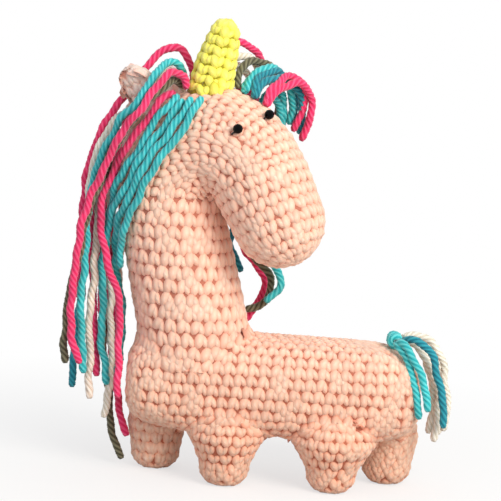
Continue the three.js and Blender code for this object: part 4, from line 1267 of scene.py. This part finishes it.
def rising_outline(node_name, at, axis, sideways):
    """A cover's own outline, from the lowest point along an axis up one side to the
    highest."""
    cuts = cut_lines(SOLIDS[node_name], at, axis.cross(sideways))
    line = max(cuts, key=line_length)
    if (line[0] - line[-1]).length < LINE_CLOSE * MM:
        line = line[:-1]
    lowest = min(point.dot(axis) for point in line)
    ends = [i for i, point in enumerate(line) if point.dot(axis) < lowest + SAME_HEIGHT * MM]
    first = min(ends, key=lambda i: abs((line[i] - at).dot(sideways)))
    ordered = line[first:] + line[:first]
    if (ordered[1] - ordered[-1]).dot(sideways) < 0:
        ordered = [ordered[0]] + ordered[:0:-1]
    highest = max(range(len(ordered)), key=lambda i: ordered[i].dot(axis))
    return ordered[:highest + 1]


def outline_planes(node_name, at, step, top=False):
    """Level planes at equal steps along the cover's own outline from its lowest end up to
    a step below its highest, or with top up to the highest."""
    half = rising_outline(node_name, at, UP, VIEWER_SIDE)
    marks = spaced(half, max(3, round(line_length(half) / (step * MM)) + 1))
    levels = [marks[0].z + FIRST_ROUND_UP * MM] + [mark.z for mark in marks[1:-1]]
    if top:
        levels.append(marks[-1].z - FIRST_ROUND_UP * MM)
    kept = [z for i, z in enumerate(levels) if i == 0 or z > levels[i - 1] + SAME_HEIGHT * MM]
    return [(UP * z, UP) for z in kept]


def axis_planes(node_name, axis, step, short):
    """Planes across an axis, at equal steps from a cover's one end to short of its tip."""
    heights = [vert.co.dot(axis) for vert in SOLIDS[node_name].verts]
    low = min(heights) + FIRST_ROUND_UP * MM
    high = max(heights) - short * MM
    count = round((high - low) / (step * MM))
    return [(axis * (low + (high - low) * i / count), axis) for i in range(count + 1)]


def back_ridge(node_name):
    """The points along the top of a cover."""
    top = corners(node_name)[1].z
    lines = cut_lines(SOLIDS[node_name], middle_of(node_name), VIEWER_SIDE)
    line = max(lines, key=line_length)
    dense = spaced(line, round(line_length(line) / (RIDGE_STEP * MM)))
    return [point for point in dense if point.z > top - RIDGE_DEPTH * MM]


def head_planes():
    """Planes that fan out from the crease of the bend, then cross the muzzle."""
    crease = placed(*NECK_TOP) + head_turned((CREASE_OUT * MM, 0, 0))
    steps = round(HEAD_BEND * BROW_OUT / HEAD_ROUND)
    planes = []
    for i in range(steps + 1):
        turn = max(HEAD_BEND * i / steps, FIRST_FAN)
        facing = head_turned((math.sin(turn), 0, math.cos(turn)))
        planes.append((crease, facing, head_turned((-math.cos(turn), 0, math.sin(turn)))))
    ahead = head_turned((math.sin(HEAD_BEND), 0, math.cos(HEAD_BEND)))
    rows = round(SNOUT_LENGTH / HEAD_ROUND)
    for i in range(1, rows + 1):
        planes.append((crease + ahead * SNOUT_LENGTH * MM * i / rows, ahead))
    dome = round(MUZZLE_RADIUS * math.pi / 2 / HEAD_ROUND)
    for i in range(1, dome + 1):
        reach = SNOUT_LENGTH + MUZZLE_RADIUS * math.sin(math.pi / 2 * min(i / dome, DOME_END))
        planes.append((crease + ahead * reach * MM, ahead))
    return planes


# Each cover dressed in its crochet


def dress(node_name, planes, width, form, slot="peach_cotton_crochet", body="toy", **ways):
    """A cover's crochet, in the place of its node."""
    fabric = crochet(node_name, planes, width * MM, form, **ways)
    piece = new_piece(node_name.removesuffix("_cover") + "_crochet", fabric, slot, body)
    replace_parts(piece, node_name)


def dress_ear(side, sign):
    """One ear's crochet, in rounds across the ear's own axis."""
    name = side + "_ear"
    swept = Vector((-math.sin(EAR_SWEPT), 0, math.cos(EAR_SWEPT)))
    splay = Matrix.Rotation(-sign * EAR_SPLAY, 3, "X")
    planes = axis_planes(name, head_turned(splay @ swept), EAR_STITCH, EAR_TIP)
    dress(name, planes, EAR_STITCH, HOOD_STITCH, "pale_peach_cotton_crochet", body=name)


torso_planes = outline_planes("torso_cover", placed(*TORSO_CUT), TORSO_STITCH)
dress(
    "torso_cover", torso_planes, TORSO_STITCH, HOOD_STITCH,
    drift=0.12, ridge=back_ridge("torso_cover"),
)
neck_planes = level_planes(NECK_FOOT, NECK_END, NECK_STITCH)
dress("neck_cover", neck_planes, NECK_STITCH, HOOD_STITCH, drift=0.5, rim=NECK_RIM)
dress("head_cover", head_planes(), HEAD_STITCH, HOOD_STITCH, drift=0.5)
for leg in LEGS:
    leg_cover = leg + "_cover"
    leg_planes = outline_planes(leg_cover, middle_of(leg_cover), LEG_STITCH, top=True)
    dress(leg_cover, leg_planes, LEG_STITCH, HEART_STITCH, drift=0.4)
horn_axis = head_turned((math.sin(HORN_TILT), 0, math.cos(HORN_TILT)))
horn_planes = axis_planes("horn_cover", horn_axis, HORN_ROUND, HORN_TIP)
dress("horn_cover", horn_planes, HORN_STITCH, HEART_STITCH, "yellow_cotton_crochet")
dress_ear("left", -1)
dress_ear("right", 1)


# Nodes that keep their own shape

KEPT = {"_filling": "polyester_fibre", "_bead": "black_glass_bead"}
for name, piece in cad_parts.items():
    for ending, slot in KEPT.items():
        if name.endswith(ending):
            piece.data.materials.clear()
            piece.data.materials.append(MATERIALS[slot])


# Eye threads: a tail of black thread from under each bead into the fabric


def make_eye_thread(side, reach):
    """The short tail of thread at one eye, which reaches this many millimetres past the
    bead and bends down along the stitches."""
    bead = middle_of(side + "_eye_bead")
    skin, normal = BVHTree.FromBMesh(SOLIDS["head_cover"]).find_nearest(bead)[:2]
    down = Vector(THREAD_WAY)
    down = (down - normal * down.dot(normal)).normalized()
    points = [
        bead + down * 1.2 * MM - normal * 0.6 * MM,
        bead + down * (1 + reach / 2) * MM - normal * 0.9 * MM,
        skin + down * (1.2 + reach) * MM + normal * 1.2 * MM,
        skin + down * (0.8 + reach) * MM + normal * 0.2 * MM,
    ]
    line = spaced(smooth_line(points), THREAD_RINGS)
    tube = plied_tube(line, THREAD_THICK * MM, THREAD_PLIES, THREAD_TWIST * MM, sides=THREAD_SIDES)
    thread = new_piece(side + "_eye_stitch", tube, "black_sewing_thread", "toy")
    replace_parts(thread, side + "_eye_thread")


make_eye_thread("left", reach=1.9)
make_eye_thread("right", reach=0.9)


# Tail knot: a few close turns of turquoise yarn across the back of the torso


def coil_line(middle, radius, width, turns):
    """A line wound round the Y axis."""
    count = round(turns * TURN_STEPS)
    line = []
    for i in range(count + 1):
        share = i / count
        turn = 2 * math.pi * turns * share
        offset = Vector((radius * math.cos(turn), width * (share - 0.5), radius * math.sin(turn)))
        line.append(middle + offset * MM)
    return line


def make_tail_knot():
    """The wound knot that holds the tail."""
    line = coil_line(middle_of("tail_knot"), KNOT_RADIUS, KNOT_WIDTH, KNOT_TURNS)
    tube = plied_tube(rings_along(line), KNOT_YARN * MM, YARN_PLIES, YARN_TWIST * MM)
    knot = new_piece("tail_knot_yarn", tube, "turquoise_yarn", "tail")
    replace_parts(knot, "tail_knot")


make_tail_knot()


# Floor, background and light: the floor is white paper, whose shadow fades out from 80 to
# 300 mm from the toy's middle
FLOOR_HALF = 3
SHADOW_SHARE = 0.35
SHADOW_FROM = 0.08
SHADOW_TO = 0.3
WORLD_LEVEL = 0.62
LAMP_AIM = (-10, 0, 100)


def seen_as_white(tree, ray):
    """1 where a ray comes from the camera, off a gloss or through glass, and 0 elsewhere."""
    seen = ray.outputs["Is Camera Ray"]
    for kind in ("Is Glossy Ray", "Is Transmission Ray"):
        links = [(seen, 0), (ray.outputs[kind], 1)]
        seen = node(tree, "ShaderNodeMath", links, operation="MAXIMUM").outputs[0]
    return seen


def stage_material(name):
    """Plain white paper that the camera sees as white, with the toy's soft shadow."""
    tree, shader = new_material(name, {"Roughness": 1, "Specular IOR Level": 0})
    glow = node(tree, "ShaderNodeEmission", values={"Color": (1, 1, 1, 1)})
    ray = node(tree, "ShaderNodeLightPath")
    stops = [(0, "f4f4f4"), (1, "c4c1be")]
    links = [(ray.outputs["Is Diffuse Ray"], "Fac")]
    paper = node(tree, "ShaderNodeValToRGB", links, stops=stops)
    tree.links.new(paper.outputs["Color"], shader.inputs["Base Color"])
    place = node(tree, "ShaderNodeTexCoord").outputs["Object"]
    away = node(tree, "ShaderNodeVectorMath", [(place, "Vector")], operation="LENGTH")
    fade = {
        "From Min": SHADOW_FROM,
        "From Max": SHADOW_TO,
        "To Min": 1 - SHADOW_SHARE,
        "To Max": 1,
    }
    plain = node(tree, "ShaderNodeMapRange", [(away.outputs["Value"], "Value")], fade)
    links = [(seen_as_white(tree, ray), 0), (plain.outputs["Result"], 1)]
    part = node(tree, "ShaderNodeMath", links, operation="MULTIPLY")
    links = [(part.outputs[0], 0), (shader.outputs[0], 1), (glow.outputs[0], 2)]
    mix = node(tree, "ShaderNodeMixShader", links)
    tree.links.new(mix.outputs[0], tree.nodes["Material Output"].inputs["Surface"])


def make_floor():
    """A wide plain floor."""
    plane = bmesh.new()
    bmesh.ops.create_grid(plane, x_segments=1, y_segments=1, size=FLOOR_HALF)
    mesh = bpy.data.meshes.new("floor")
    plane.to_mesh(mesh)
    plane.free()
    stage_material("white_paper")
    mesh.materials.append(MATERIALS["white_paper"])
    floor = bpy.data.objects.new("floor", mesh)
    bpy.context.scene.collection.objects.link(floor)


def make_world():
    """An even soft light from all round, seen as white."""
    world = bpy.data.worlds.new("studio")
    world.use_nodes = True
    bpy.context.scene.world = world
    tree = world.node_tree
    light = tree.nodes["Background"]
    light.inputs["Color"].default_value = (1, 1, 1, 1)
    white = seen_as_white(tree, node(tree, "ShaderNodeLightPath"))
    levels = {"To Min": WORLD_LEVEL, "To Max": 1}
    strength = node(tree, "ShaderNodeMapRange", [(white, "Value")], levels)
    tree.links.new(strength.outputs[0], light.inputs["Strength"])


def make_lamp(name, place, size, power, colour):
    """A soft square lamp aimed at the middle of the toy."""
    data = bpy.data.lights.new(name, "AREA")
    data.size = size
    data.energy = power
    data.color = linear(colour)[:3]
    lamp = bpy.data.objects.new(name, data)
    aim = placed(*LAMP_AIM) - Vector(place)
    turn = aim.to_track_quat("-Z", "Y").to_matrix().to_4x4()
    lamp.matrix_world = Matrix.Translation(place) @ turn
    bpy.context.scene.collection.objects.link(lamp)


bpy.context.scene.view_settings.view_transform = "Standard"
make_floor()
make_world()
make_lamp("key", place=(0.45, -0.62, 0.58), size=0.4, power=6.6, colour="fff8ee")
make_lamp("fill", place=(-0.5, -0.7, 0.3), size=0.6, power=0.5, colour="ecdcff")
